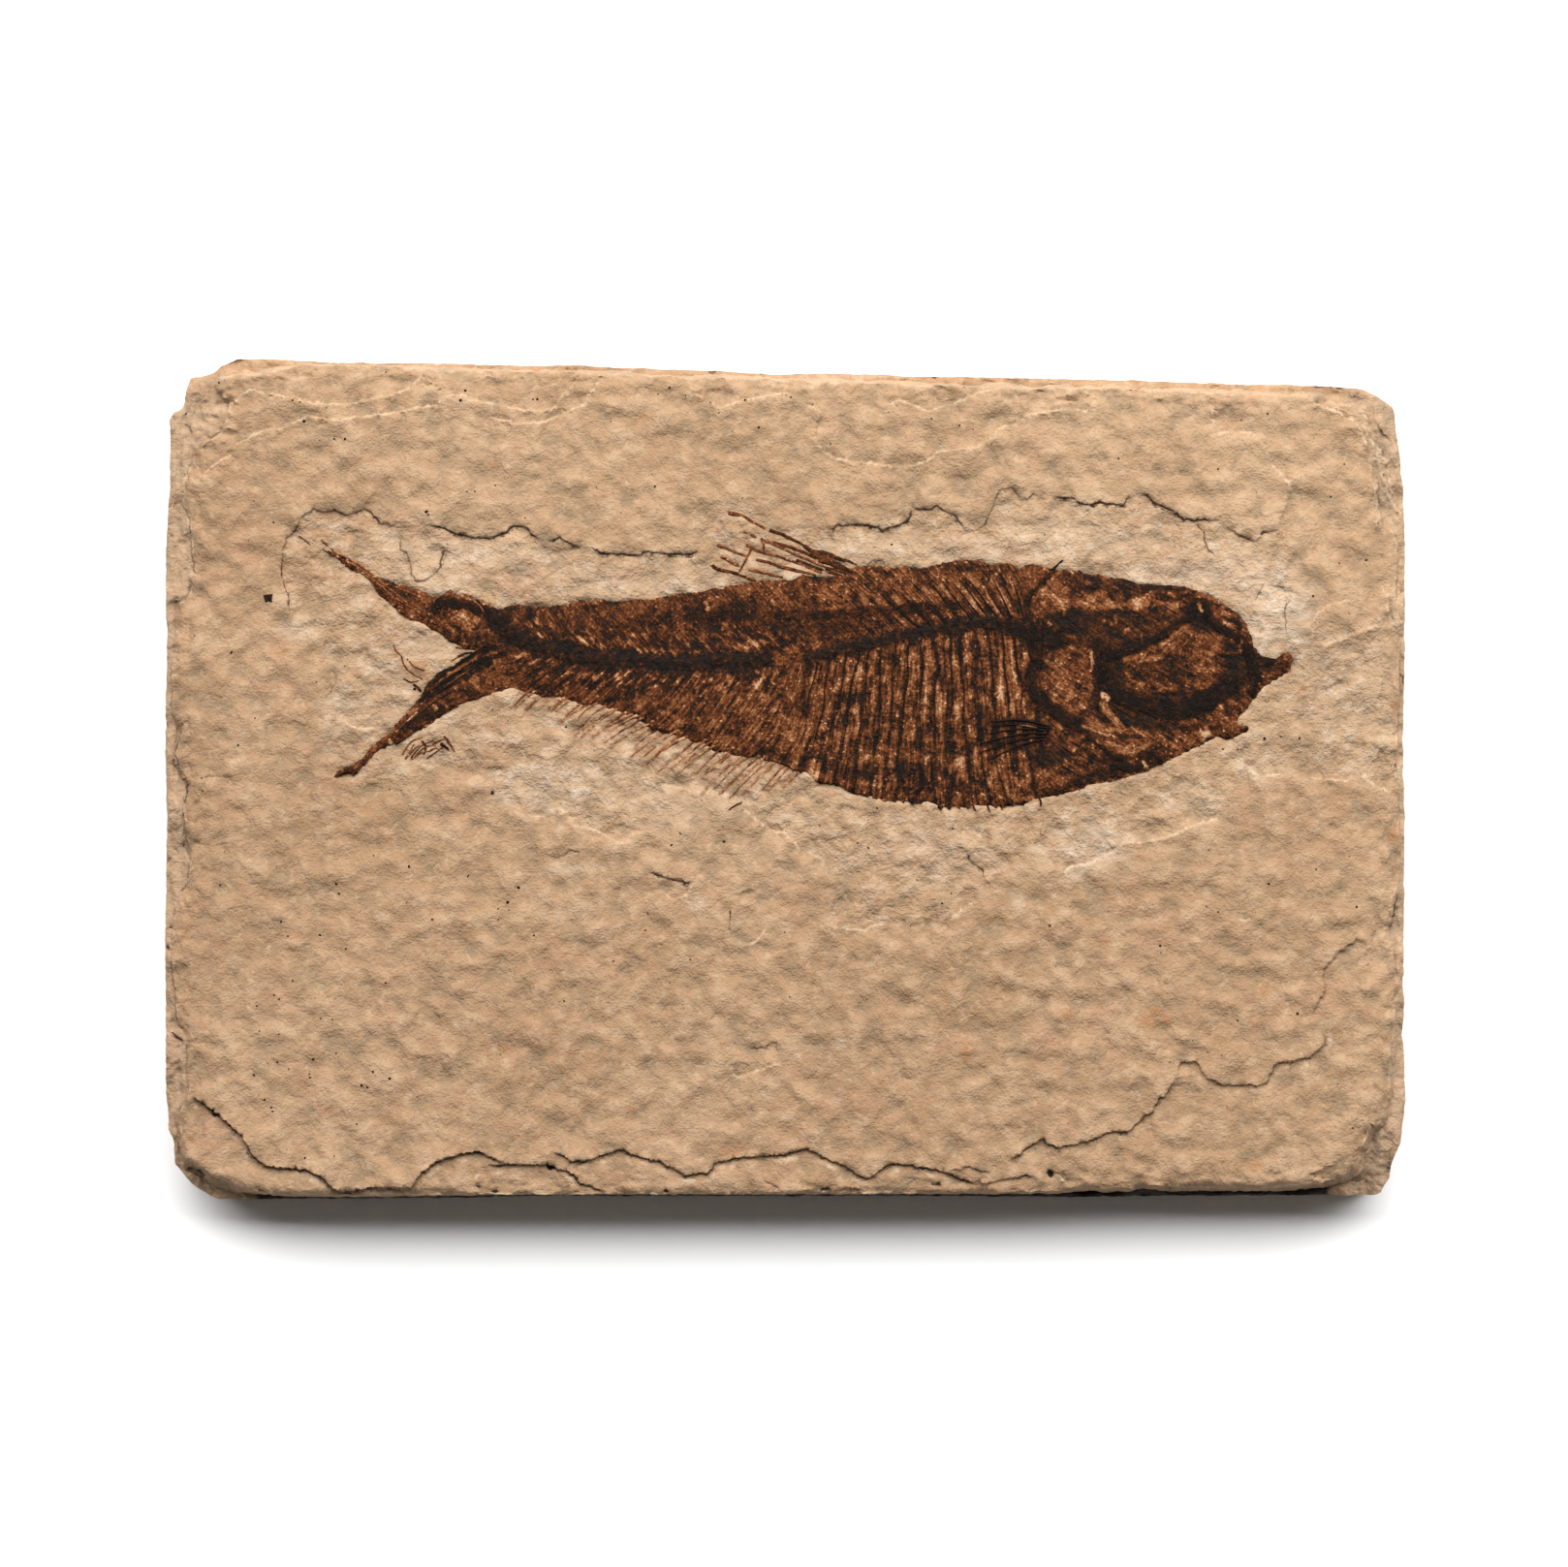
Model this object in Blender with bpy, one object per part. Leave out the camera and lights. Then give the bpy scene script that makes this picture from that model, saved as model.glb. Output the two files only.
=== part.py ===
"""Fossil fish (knightia) lying in a plate of laminated limestone.

Three solids: the slab of rock, the mineralised fish that lies in a shallow bed in its face, and a
loose scrap of tail rays beside it. Units are metres, +Z points out of the fossil's face, and the
origin is the centre of the resting face. Outlines and bone lines are hand-picked points in pixels of the reference picture, which looks
straight down on the face; place() turns them into metres from the slab's real length.
"""
import math

import bmesh
import bpy
import numpy as np
from mathutils import Vector, noise
from mathutils.geometry import delaunay_2d_cdt

# Driving dimensions of the slab
SLAB_LENGTH = 0.150
FACE_HEIGHT = 0.0116
RECESS_DEPTH = 0.0006
LUMP_HEIGHT = 0.00022
LUMP_LENGTH = 0.016
LUMP_WIDTH = 0.009
LUMP_LAYER = 0.7
LUMP_OCTAVES = 3
LEDGE_RELAX = 0.006
LEDGE_WIDTH = 0.00036
LEDGE_FADE = 0.08
RECESS_FLAT_SHARE = 0.6
SEAM_HEIGHTS = (0.0056, 0.0051, 0.0028, 0.0023)
SEAM_INSETS = (0.0004, 0.0010, 0.0003, 0.0009)
FOOT_INSET = 0.0006
WALL_WEAR = 0.9
WALL_WEAR_SCALE = 1.7
FACE_SLOPE = 0.25

# Driving dimensions of the fish
RIM_RISE = 0.00016
BODY_RISE = 0.00030
BODY_RELAX = 0.0022
FISH_FLOOR = 0.0101
VERTEBRA_SPACING = 0.00156
SPINE_HALF_WIDTH = 0.00042
SPINE_HEIGHT = 0.00018
RAY_RISE = 0.00014
RAY_SINK = 0.00035
RAY_TAPER = 0.6
DORSAL_RAY_WIDTH = 0.00062
ANAL_RAY_WIDTH = 0.00042
ANAL_RAY_COUNT = 16
GAP = 0.0003
ABOVE_FACE = 0.0014

# Spacing of the free points that carry the surfaces between their edges, and the least cosine of
# half a corner's turn that a parallel line still follows fully
SLAB_SPACING = 0.0062
FISH_SPACING = 0.0021
SHARPEST_TURN = 0.6
CLEARANCE_SHARE = 0.45
TINY = 1e-6
MERGE_DISTANCE = 1e-5

# The picture's pixels: the slab's left and right edges, and its centre
PICTURE_LEFT, PICTURE_RIGHT = 170.0, 1451.0
PICTURE_CENTRE = (810.5, 804.2)
PIXEL = SLAB_LENGTH / (PICTURE_RIGHT - PICTURE_LEFT)


def place(points):
    """Turn picture pixels into metres in the part's frame, +Y towards the picture's top."""
    return (np.array(points, float) - PICTURE_CENTRE) * (PIXEL, -PIXEL)


# Outer edge of the slab, clockwise in the picture from the middle of the left side
SLAB_OUTLINE = place([
    (171, 640), (170, 595), (172, 545), (175, 498), (174, 432), (182, 422), (190, 413), (193, 393),
    (201, 387), (215, 385), (230, 375), (254, 369), (310, 371), (380, 373), (447, 373.5), (520, 376),
    (600, 376), (680, 380), (740, 382), (800, 385.5), (870, 384), (940, 387.5), (1000, 388),
    (1060, 389), (1150, 391), (1240, 394), (1300, 396), (1350, 397), (1406, 401), (1422, 410),
    (1437, 418), (1441, 435), (1445, 470), (1449, 508), (1450, 555), (1450, 640), (1450, 700),
    (1448, 760), (1449, 850), (1450, 926), (1448, 1008), (1450, 1034), (1448, 1067), (1451, 1105),
    (1451, 1130), (1448, 1166), (1442, 1192), (1437, 1204), (1435, 1218), (1426, 1233), (1404, 1235),
    (1330, 1235), (1202, 1236), (1100, 1237), (1000, 1236), (900, 1236), (800, 1236), (700, 1236),
    (620, 1236), (552, 1237), (450, 1238), (370, 1239), (293, 1239.4), (221, 1239), (209, 1231),
    (196, 1222.5), (186, 1211), (178, 1202), (178, 1179), (171, 1158), (170.4, 1110), (170.4, 1067),
    (170, 1018), (170, 952), (170.4, 901), (171.7, 840), (170, 780), (170.5, 720)])

# Edge of the upper beds, clockwise, with how far the rock steps down outside it (millimetres)
FACE_EDGE = [
    (198, 582, 0.7), (197, 540, 0.8), (187, 518, 0.8), (191, 494, 0.9), (199, 474, 1.0),
    (214, 456, 1.1), (232, 440, 1.1), (240, 417, 1.0), (232, 396, 1.2), (238, 389, 1.4),
    (262, 388, 1.4), (300, 382, 1.6), (370, 382, 1.6), (440, 384, 1.7), (520, 386, 1.7),
    (600, 388, 1.8), (700, 392, 1.8), (800, 395, 1.8), (900, 398, 1.8), (1000, 400, 1.8),
    (1150, 403, 1.6), (1240, 407, 1.6), (1330, 410, 1.5), (1366, 419, 1.4), (1400, 427, 1.2),
    (1411, 450, 1.1), (1417, 482, 1.0), (1423, 520, 0.9), (1425, 541, 0.9), (1438, 552, 0.8),
    (1441, 590, 0.7), (1438, 640, 0.7), (1443, 700, 0.7), (1442, 800, 0.7), (1443, 860, 0.8),
    (1440, 920, 0.9), (1431, 957, 1.0), (1439, 1000, 1.0), (1438, 1054, 1.0), (1433, 1105, 1.1),
    (1428, 1140, 1.2), (1416, 1168, 1.5), (1401, 1187, 2.2), (1394, 1206, 2.8), (1380, 1217, 3.2),
    (1330, 1223, 3.4), (1253, 1224, 3.5), (1176, 1222, 3.5), (1100, 1227, 3.5), (950, 1229, 3.4),
    (800, 1229, 3.4), (620, 1230, 3.4), (500, 1230, 3.4), (392, 1230, 3.4), (300, 1231, 3.4),
    (254, 1230, 3.3), (237, 1224, 3.2), (222, 1212, 3.0), (207, 1204, 2.7), (191, 1199, 2.2),
    (187, 1176, 1.6), (180, 1150, 1.2), (184, 1128, 1.1), (191, 1105, 1.1), (190, 1080, 1.0),
    (182, 1045, 0.9), (178, 1000, 0.8), (180, 952, 0.8), (196, 905, 0.9), (197, 875, 1.0),
    (189, 850, 1.0), (191, 812, 0.9), (184, 788, 0.8), (183, 748, 0.7), (178, 700, 0.6),
    (181, 660, 0.6), (185, 622, 0.7)]
FACE_OUTLINE = place([(x, y) for x, y, drop in FACE_EDGE])
FACE_DROPS = np.array([drop for x, y, drop in FACE_EDGE]) / 1000

# Prepared area round the fish, clockwise: cracked edge above it, flaked ledge below it
RECESS_OUTLINE = place([
    (299, 640), (296, 612), (291, 580), (297, 556), (311, 538), (332, 528), (362, 529), (379, 526),
    (392, 540), (425, 545), (448, 542), (480, 553), (506, 556), (530, 543), (549, 551), (570, 557),
    (603, 565), (640, 572), (690, 572), (716, 560), (722, 528), (748, 516), (790, 528), (840, 545),
    (862, 543), (886, 543), (912, 546), (935, 539), (944, 524), (968, 524), (988, 535), (1004, 548),
    (1020, 538), (1032, 505), (1045, 503), (1057, 515), (1074, 513), (1110, 516), (1140, 520),
    (1163, 515), (1184, 511), (1208, 526), (1230, 537), (1258, 537), (1280, 553), (1296, 557),
    (1318, 549), (1334, 575), (1336, 606), (1326, 632), (1350, 660), (1384, 659), (1421, 646),
    (1433, 690), (1436, 760), (1436, 815), (1420, 812), (1408, 801), (1385, 806), (1350, 802),
    (1300, 799), (1281, 800), (1263, 824), (1255, 843), (1217, 857), (1190, 866), (1166, 867),
    (1150, 880), (1122, 894), (1096, 899), (1078, 884), (1060, 878), (1030, 890), (1020, 915),
    (990, 938), (965, 958), (921, 953), (880, 960), (859, 955), (864, 930), (853, 905), (853, 886),
    (832, 880), (818, 866), (797, 857), (776, 845), (757, 828), (735, 838), (700, 852), (667, 857),
    (641, 871), (613, 857), (592, 851), (575, 835), (545, 843), (514, 828), (498, 806), (470, 790),
    (440, 792), (405, 796), (380, 812), (350, 818), (335, 800), (340, 765), (338, 730), (347, 697),
    (330, 662), (312, 648)])

# Ledges on the face: points, and the step in millimetres, positive where the rock is higher on the
# left of the way from the first point to the last
LEDGES = [
    ([(232, 436), (248, 408), (262, 401), (300, 410), (340, 418), (385, 411), (435, 389),
      (470, 405), (500, 414), (560, 424), (603, 417), (622, 388)], -0.40),
    ([(207, 491), (236, 471), (262, 449), (303, 436), (340, 434), (400, 427), (458, 408)], -0.35),
    ([(715, 404), (743, 421), (800, 406), (840, 420), (848, 465), (895, 478), (945, 480),
      (1010, 461), (1032, 441), (1060, 428), (1122, 424), (1133, 408)], -0.40),
    ([(1248, 415), (1253, 440), (1292, 446), (1313, 480), (1333, 506), (1320, 548)], -0.35),
    ([(1421, 630), (1421, 646), (1384, 659), (1358, 664), (1352, 650), (1370, 630)], -0.25),
    ([(196, 1131), (232, 1152), (257, 1182), (272, 1205), (316, 1208), (349, 1228), (392, 1226),
      (428, 1224), (448, 1199), (488, 1189), (519, 1198)], 0.80),
    ([(491, 1213), (505, 1203), (570, 1203), (592, 1210), (600, 1222), (626, 1229)], 0.60),
    ([(570, 1188), (593, 1199), (641, 1187), (680, 1198), (712, 1213), (756, 1196), (832, 1187),
      (872, 1205), (895, 1217), (926, 1202), (987, 1217), (1038, 1214), (1040, 1199), (1076, 1177),
      (1100, 1182), (1166, 1166), (1197, 1133), (1219, 1096)], 0.50),
    ([(1230, 1095), (1250, 1115), (1289, 1120), (1310, 1113), (1319, 1097), (1352, 1093),
      (1366, 1075), (1356, 1050), (1368, 1020), (1386, 983), (1401, 969), (1419, 975)], 0.45),
    ([(755, 920), (753, 964), (770, 975), (792, 955)], 0.30)]
LEDGES = [(place(points), step / 1000) for points, step in LEDGES]

# Edge of the fish, clockwise from the tip of the tail's upper lobe
FISH_OUTLINE = place([
    (333, 565), (357, 575), (382, 589), (403, 600), (434, 610), (450, 616), (461, 607), (491, 617),
    (513, 629), (543, 625), (573, 622), (614, 619), (648, 618), (690, 614), (725, 610), (758, 604),
    (800, 599), (828, 593), (865, 594), (884, 584), (922, 585), (955, 584), (986, 578.5),
    (1020, 581), (1053, 585), (1086, 588), (1113, 590), (1162, 597), (1205, 604), (1241, 611),
    (1262, 623), (1280, 637), (1291, 656), (1302, 677), (1315, 679), (1327, 673), (1335, 681),
    (1329, 692), (1308, 707), (1292, 725), (1278, 742), (1290, 751), (1281, 760), (1256, 760),
    (1224, 776), (1182, 795), (1139, 807), (1097, 819), (1070, 826), (1028, 832), (970, 832),
    (932, 826), (884, 820), (852, 807), (832, 799), (785, 783), (752, 779), (725, 767), (704, 762),
    (662, 746), (618, 728), (576, 719), (530, 711), (499, 719), (472, 728), (442, 750), (407, 769),
    (376, 788), (361, 800), (341, 805), (356, 791), (376, 779), (394, 762), (413, 742), (434, 719),
    (446, 699), (472, 683), (489, 671), (468, 661), (442, 646), (409, 629), (392, 614), (374, 593)])

# Bone ridges: points, half width and height, both in millimetres
BACKBONE_POINTS = [
    (509, 637), (528, 656), (547, 664), (576, 673), (604, 679), (652, 682), (710, 686), (757, 681),
    (789, 682), (836, 679), (865, 671), (923, 658), (980, 647), (1037, 642), (1075, 650), (1098, 658)]
BONES = [
    (place(BACKBONE_POINTS), 0.85, 0.42),
    (place([(1069, 664), (1069, 682), (1063, 705), (1076, 724), (1095, 742), (1120, 752)]), 0.8, 0.40),
    (place([(1127, 674), (1132, 694), (1145, 711), (1170, 722), (1204, 730), (1228, 727), (1252, 716),
            (1275, 700), (1288, 680), (1282, 662), (1262, 646)]), 0.9, 0.48),
    (place([(1064, 606), (1100, 608), (1150, 611), (1200, 617), (1238, 628)]), 1.0, 0.30),
    (place([(1222, 640), (1195, 655), (1164, 670), (1144, 676)]), 0.6, 0.30),
    (place([(1150, 742), (1190, 748), (1235, 742), (1272, 726), (1298, 706), (1322, 687)]), 0.8, 0.30),
    (place([(1124, 757), (1147, 776), (1172, 786)]), 0.7, 0.28),
    (place([(1088, 640), (1126, 644), (1165, 646)]), 0.8, 0.24),
    (place([(500, 626), (455, 622), (405, 606), (360, 580)]), 0.6, 0.22),
    (place([(505, 648), (462, 638), (420, 622)]), 0.6, 0.16),
    (place([(508, 664), (462, 692), (434, 728), (402, 760), (366, 790)]), 0.7, 0.26),
    (place([(515, 684), (478, 704), (446, 734)]), 0.6, 0.18),
    (place([(938, 818), (952, 810)]), 0.5, 0.20)]
PECTORAL_ROOT = (1078, 755)
PECTORAL_TIPS = [(1022, 746), (1008, 758), (1002, 772), (1024, 782)]
PECTORAL_HALF_WIDTH = 0.00036
PECTORAL_HEIGHT = 0.00022
GILL_COVER = place([(1084, 670), (1106, 663), (1119, 672), (1124, 694), (1131, 713), (1142, 728),
                    (1118, 734), (1096, 727), (1082, 711), (1078, 690)])
GILL_COVER_RISE = 0.00026
EYE_CENTRE = place([(1241, 680)])[0]
EYE_RADII = (0.0024, 0.0036)
EYE_DEPTH = 0.00030
EYE_BOWL = 1.2

# Ribs and spines: where they stand along X (pixels), how far they reach from the backbone towards
# the back and the belly (pixels), and how far they lean to the tail for each pixel of reach. The
# span and the start, clear of the backbone's ridge, are in pixels too
SPINE_STATIONS = [540, 600, 660, 720, 780, 840, 900, 960, 1020, 1060]
SPINE_SPAN = (552, 1056)
SPINE_START = 10
BACK_REACH = [19, 33, 40, 43, 47, 45, 43, 40, 34, 31]
BELLY_REACH = [22, 31, 38, 53, 69, 83, 96, 108, 117, 120]
BACK_LEAN = [0.9, 0.9, 0.9, 0.9, 0.9, 0.9, 0.8, 0.75, 0.6, 0.5]
BELLY_LEAN = [1.0, 0.95, 0.9, 0.7, 0.5, 0.22, 0.1, 0.02, -0.08, -0.14]

# Dorsal fin rays, root first, and the run of the anal fin along the belly
DORSAL_RAYS = [
    [(900, 594), (870, 577), (838, 568), (794, 546), (751, 528)],
    [(888, 603), (862, 591), (810, 567), (766, 548)],
    [(872, 606), (838, 592), (800, 577), (742, 561)],
    [(846, 609), (812, 597), (776, 593), (737, 584)]]
ANAL_STATIONS = [548, 600, 660, 720, 770, 800, 832]
ANAL_BELLY = [713, 723, 742, 763, 778, 786, 795]
ANAL_LENGTH = [28, 36, 46, 54, 52, 52, 30]
ANAL_ANGLE = [42, 38, 34, 38, 44, 48, 46]
ANAL_ROOT_INSET = 8

# Scrap of broken tail rays that lies loose below the lower lobe: its edge, and two ray ridges
SCRAP_OUTLINE = place([
    (414, 781), (422, 768), (435, 760), (447, 762), (458, 757), (470, 775), (463, 779), (455, 771),
    (443, 775), (440, 784), (430, 778), (421, 785)])
SCRAP_RIDGES = [place([(419, 780), (432, 768), (446, 766)]), place([(457, 762), (465, 774)])]
SCRAP_HALF_WIDTH = 0.0003
SCRAP_RISE = 0.00012
SCRAP_FLOOR = 0.0104

# Finishes: colour and roughness
LIMESTONE = ((0.55, 0.39, 0.25), 0.95)
FOSSIL_BONE = ((0.085, 0.042, 0.022), 0.6)


def nearest(points, line):
    """Distance to a polyline, side (+1 on the left of its way) and share of the way along it."""
    run = line[1:] - line[:-1]
    length = np.hypot(run[:, 0], run[:, 1])
    offset = points[:, None] - line[None, :-1]
    share = np.clip((offset * run).sum(axis=2) / length ** 2, 0, 1)
    gap = np.linalg.norm(offset - share[..., None] * run, axis=2)
    rows, best = np.arange(len(points)), gap.argmin(axis=1)
    turn = run[best, 0] * offset[rows, best, 1] - run[best, 1] * offset[rows, best, 0]
    travelled = np.concatenate(([0], np.cumsum(length)))
    along = (travelled[best] + share[rows, best] * length[best]) / travelled[-1]
    return gap[rows, best], np.sign(turn), along


def closed(outline):
    """The outline with its first point repeated at its end."""
    return np.vstack((outline, outline[:1]))


def inside(points, outline):
    """True for the points that lie inside a closed outline."""
    ends = np.roll(outline, -1, axis=0)
    x, y = points[:, 0, None], points[:, 1, None]
    crosses = (outline[:, 1] > y) != (ends[:, 1] > y)
    with np.errstate(divide="ignore", invalid="ignore"):
        slope = (ends[:, 0] - outline[:, 0]) / (ends[:, 1] - outline[:, 1])
        hits = crosses & (x < outline[:, 0] + (y - outline[:, 1]) * slope)
    return hits.sum(axis=1) % 2 == 1


def shifted(line, distance, loop=False):
    """A line beside the given one, at a distance to the left of its way."""
    before, after = np.roll(line, 1, axis=0), np.roll(line, -1, axis=0)
    if not loop:
        before[0], after[-1] = line[0], line[-1]
    way_in, way_out = line - before, after - line
    for way in (way_in, way_out):
        way /= np.maximum(np.linalg.norm(way, axis=1, keepdims=True), TINY)
    way = way_in + way_out
    way /= np.maximum(np.linalg.norm(way, axis=1, keepdims=True), TINY)
    arriving = np.where(way_in.any(axis=1, keepdims=True), way_in, way_out)
    longer = 1 / np.clip((way * arriving).sum(axis=1), SHARPEST_TURN, 1)
    return line + np.column_stack((-way[:, 1], way[:, 0])) * (distance * longer)[:, None]


def lumps(points):
    """Soft bedding lumps of the rock, longer along X than along Y, between about -1 and 1."""
    spots = [Vector((x / LUMP_LENGTH, y / LUMP_WIDTH, LUMP_LAYER)) for x, y in points]
    return np.array([noise.fractal(spot, 1.0, 2.0, LUMP_OCTAVES) for spot in spots])


def rock_height(points):
    """Height of the rock's face over each point."""
    height = FACE_HEIGHT + LUMP_HEIGHT * lumps(points)
    for line, step in LEDGES:
        gap, side, along = nearest(points, line)
        fade = np.clip(np.minimum(along, 1 - along) / LEDGE_FADE, 0, 1)
        height += 0.5 * step * side * fade * np.exp(-gap / LEDGE_RELAX)
    gap = nearest(points, closed(RECESS_OUTLINE))[0]
    near_edge = np.exp(-gap / LEDGE_RELAX)
    sunk = RECESS_DEPTH * (RECESS_FLAT_SHARE + (1 - RECESS_FLAT_SHARE) * near_edge)
    height -= np.where(inside(points, RECESS_OUTLINE), sunk, 0)
    to_face, _, along = nearest(points, closed(FACE_OUTLINE))
    to_edge = nearest(points, closed(SLAB_OUTLINE))[0]
    steps = np.linalg.norm(np.diff(closed(FACE_OUTLINE), axis=0), axis=1)
    travel = np.concatenate(([0], np.cumsum(steps)))
    drop = np.interp(along * travel[-1], travel, np.append(FACE_DROPS, FACE_DROPS[0]))
    slope = 1 + FACE_SLOPE * to_face / np.maximum(to_face + to_edge, TINY)
    return height - np.where(inside(points, FACE_OUTLINE), 0, drop * slope)


def spine_line(station, reach, lean, sign):
    """One spine or rib: from the backbone's edge up (-1) or down (1), leaning to the tail."""
    backbone_y = np.interp(station, *np.transpose(BACKBONE_POINTS))
    ways = np.linspace(SPINE_START, reach, 3)
    return place([(station - lean * way, backbone_y + sign * way) for way in ways])


def spines():
    """Neural spines and ribs at every second vertebra."""
    lines = []
    for station in np.arange(*SPINE_SPAN, 2 * VERTEBRA_SPACING / PIXEL):
        for reaches, leans, sign in ((BACK_REACH, BACK_LEAN, -1), (BELLY_REACH, BELLY_LEAN, 1)):
            reach = np.interp(station, SPINE_STATIONS, reaches)
            lean = np.interp(station, SPINE_STATIONS, leans)
            lines.append(spine_line(station, reach, lean, sign))
    return lines


def fish_ridges():
    """Every raised bone line of the fish with its half width and height in metres."""
    ridges = [(line, half / 1000, high / 1000) for line, half, high in BONES]
    ridges += [(line, SPINE_HALF_WIDTH, SPINE_HEIGHT) for line in spines()]
    for tip in PECTORAL_TIPS:
        ridges.append((place([tip, PECTORAL_ROOT]), PECTORAL_HALF_WIDTH, PECTORAL_HEIGHT))
    return ridges


def fish_height(points):
    """Height of the fish's surface: a low dome over the rock, with its bones on it."""
    to_edge = nearest(points, closed(FISH_OUTLINE))[0]
    height = rock_height(points) + RIM_RISE + BODY_RISE * (1 - np.exp(-to_edge / BODY_RELAX))
    raised = np.zeros(len(points))
    for line, half_width, high in fish_ridges():
        gap = nearest(points, line)[0]
        raised = np.maximum(raised, high * np.clip(1 - (gap / half_width) ** 2, 0, 1))
    height += np.maximum(raised, np.where(inside(points, GILL_COVER), GILL_COVER_RISE, 0))
    reach = np.linalg.norm((points - EYE_CENTRE) / EYE_RADII, axis=1)
    return height - EYE_DEPTH * np.clip(EYE_BOWL - reach, 0, 1)


def free_points(outline, lines, spacing):
    """Points on a staggered grid inside an outline, clear of it and of the given lines."""
    low, high = outline.min(axis=0), outline.max(axis=0)
    rows = np.arange(low[1], high[1], spacing * math.sqrt(3) / 2)
    grid = [(x + (index % 2) * spacing / 2, y)
            for index, y in enumerate(rows) for x in np.arange(low[0], high[0], spacing)]
    grid = np.array(grid)
    grid = grid[inside(grid, outline)]
    for line in [closed(outline)] + lines:
        grid = grid[nearest(grid, line)[0] > spacing * CLEARANCE_SHARE]
    return grid


def surface(outline, lines, spacing):
    """Triangles that fill an outline and follow the lines: points, faces and the rim in order."""
    points, edges = [], []
    for line, loop in [(outline, True)] + [(line, False) for line in lines]:
        first = len(points)
        points.extend(line)
        edges.extend((first + i, first + i + 1) for i in range(len(line) - 1))
        if loop:
            edges.append((first + len(line) - 1, first))
    points.extend(free_points(outline, lines, spacing))
    flat, _, faces, *_ = delaunay_2d_cdt([Vector(p) for p in points], edges, [], 1, MERGE_DISTANCE)
    flat = np.array([tuple(p) for p in flat])
    middles = flat[np.array(faces)].mean(axis=1)
    faces = [face for face, keep in zip(faces, inside(middles, outline)) if keep]
    directed = {(a, b) for face in faces for a, b in zip(face, face[1:] + face[:1])}
    following = {a: b for a, b in directed if (b, a) not in directed}
    rim = [next(iter(following))]
    while following[rim[-1]] != rim[0]:
        rim.append(following[rim[-1]])
    return flat, faces, rim


def solid(name, outline, lines, spacing, height, rings, finish):
    """Close a relief surface with walls through the given rings (height, inset) and a flat base."""
    flat, faces, rim = surface(outline, lines, spacing)
    shape = bmesh.new()
    tops = [shape.verts.new((x, y, z)) for (x, y), z in zip(flat, height(flat))]
    for face in faces:
        shape.faces.new([tops[index] for index in face])
    loop = [tops[index] for index in rim]
    edge = flat[rim]
    wear = 1 + WALL_WEAR * lumps(edge * WALL_WEAR_SCALE)
    for level, inset in rings:
        ring_points = shifted(edge, inset * wear, loop=True)
        ring = [shape.verts.new((x, y, level)) for x, y in ring_points]
        for i, (upper, lower) in enumerate(zip(loop, ring)):
            after = (i + 1) % len(loop)
            shape.faces.new((loop[after], upper, lower, ring[after]))
        loop = ring
    shape.faces.new(loop[::-1])
    bmesh.ops.triangulate(shape, faces=shape.faces[:])
    bmesh.ops.recalc_face_normals(shape, faces=shape.faces[:])
    return new_object(name, shape, finish)


def new_object(name, shape, finish=None):
    """Turn a bmesh into an object: a piece with its finish, or without one a hidden cutter."""
    mesh = bpy.data.meshes.new(name)
    shape.to_mesh(mesh)
    shape.free()
    piece = bpy.data.objects.new(name, mesh)
    bpy.context.scene.collection.objects.link(piece)
    if finish:
        colour, roughness = finish
        material = bpy.data.materials.new(name)
        material.use_nodes = True
        shader = material.node_tree.nodes["Principled BSDF"]
        shader.inputs["Base Color"].default_value = (*colour, 1)
        shader.inputs["Roughness"].default_value = roughness
        mesh.materials.append(material)
    else:
        piece.hide_render = True
        piece.display_type = "WIRE"
    return piece


def strip(name, line, width, tip_width, top, bottom, tip_gap=0.0):
    """A tapering bar along a line, between a top and a bottom height above the rock's face."""
    end_way = (line[-1] - line[-2]) / np.linalg.norm(line[-1] - line[-2])
    line = np.vstack((line[:-1], line[-1] + end_way * tip_gap))
    share = np.linspace(0, 1, len(line))[:, None]
    half = (width + (tip_width - width) * share) / 2
    left = line + (shifted(line, 1) - line) * half
    right = line + (shifted(line, -1) - line) * half
    level = rock_height(line)
    shape = bmesh.new()
    loops = []
    for a, b, z in zip(left, right, level):
        corners = [(*a, z + bottom), (*b, z + bottom), (*b, z + top), (*a, z + top)]
        loops.append([shape.verts.new(corner) for corner in corners])
    for near, far in zip(loops, loops[1:]):
        for i in range(4):
            shape.faces.new((near[i], near[(i + 1) % 4], far[(i + 1) % 4], far[i]))
    shape.faces.new(loops[0][::-1])
    shape.faces.new(loops[-1])
    bmesh.ops.recalc_face_normals(shape, faces=shape.faces[:])
    return new_object(name, shape)


def scrap_height(points):
    """Height of the loose scrap's surface: thin, with its broken rays standing up a little."""
    gaps = np.min([nearest(points, line)[0] for line in SCRAP_RIDGES], axis=0)
    return rock_height(points) + SCRAP_RISE * (1 + np.clip(1 - gaps / SCRAP_HALF_WIDTH, 0, 1))


def fin_rays():
    """Lines of the dorsal and anal fin rays, root first, with their widths."""
    rays = [(place(points), DORSAL_RAY_WIDTH) for points in DORSAL_RAYS]
    for x in np.linspace(ANAL_STATIONS[0], ANAL_STATIONS[-1], ANAL_RAY_COUNT):
        y = np.interp(x, ANAL_STATIONS, ANAL_BELLY)
        length = np.interp(x, ANAL_STATIONS, ANAL_LENGTH)
        angle = math.radians(np.interp(x, ANAL_STATIONS, ANAL_ANGLE))
        way = np.array([-math.cos(angle), math.sin(angle)])
        root = np.array([x, y]) - way * ANAL_ROOT_INSET
        full = length + ANAL_ROOT_INSET
        rays.append((place([root, root + way * full / 2, root + way * full]), ANAL_RAY_WIDTH))
    return rays


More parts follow.
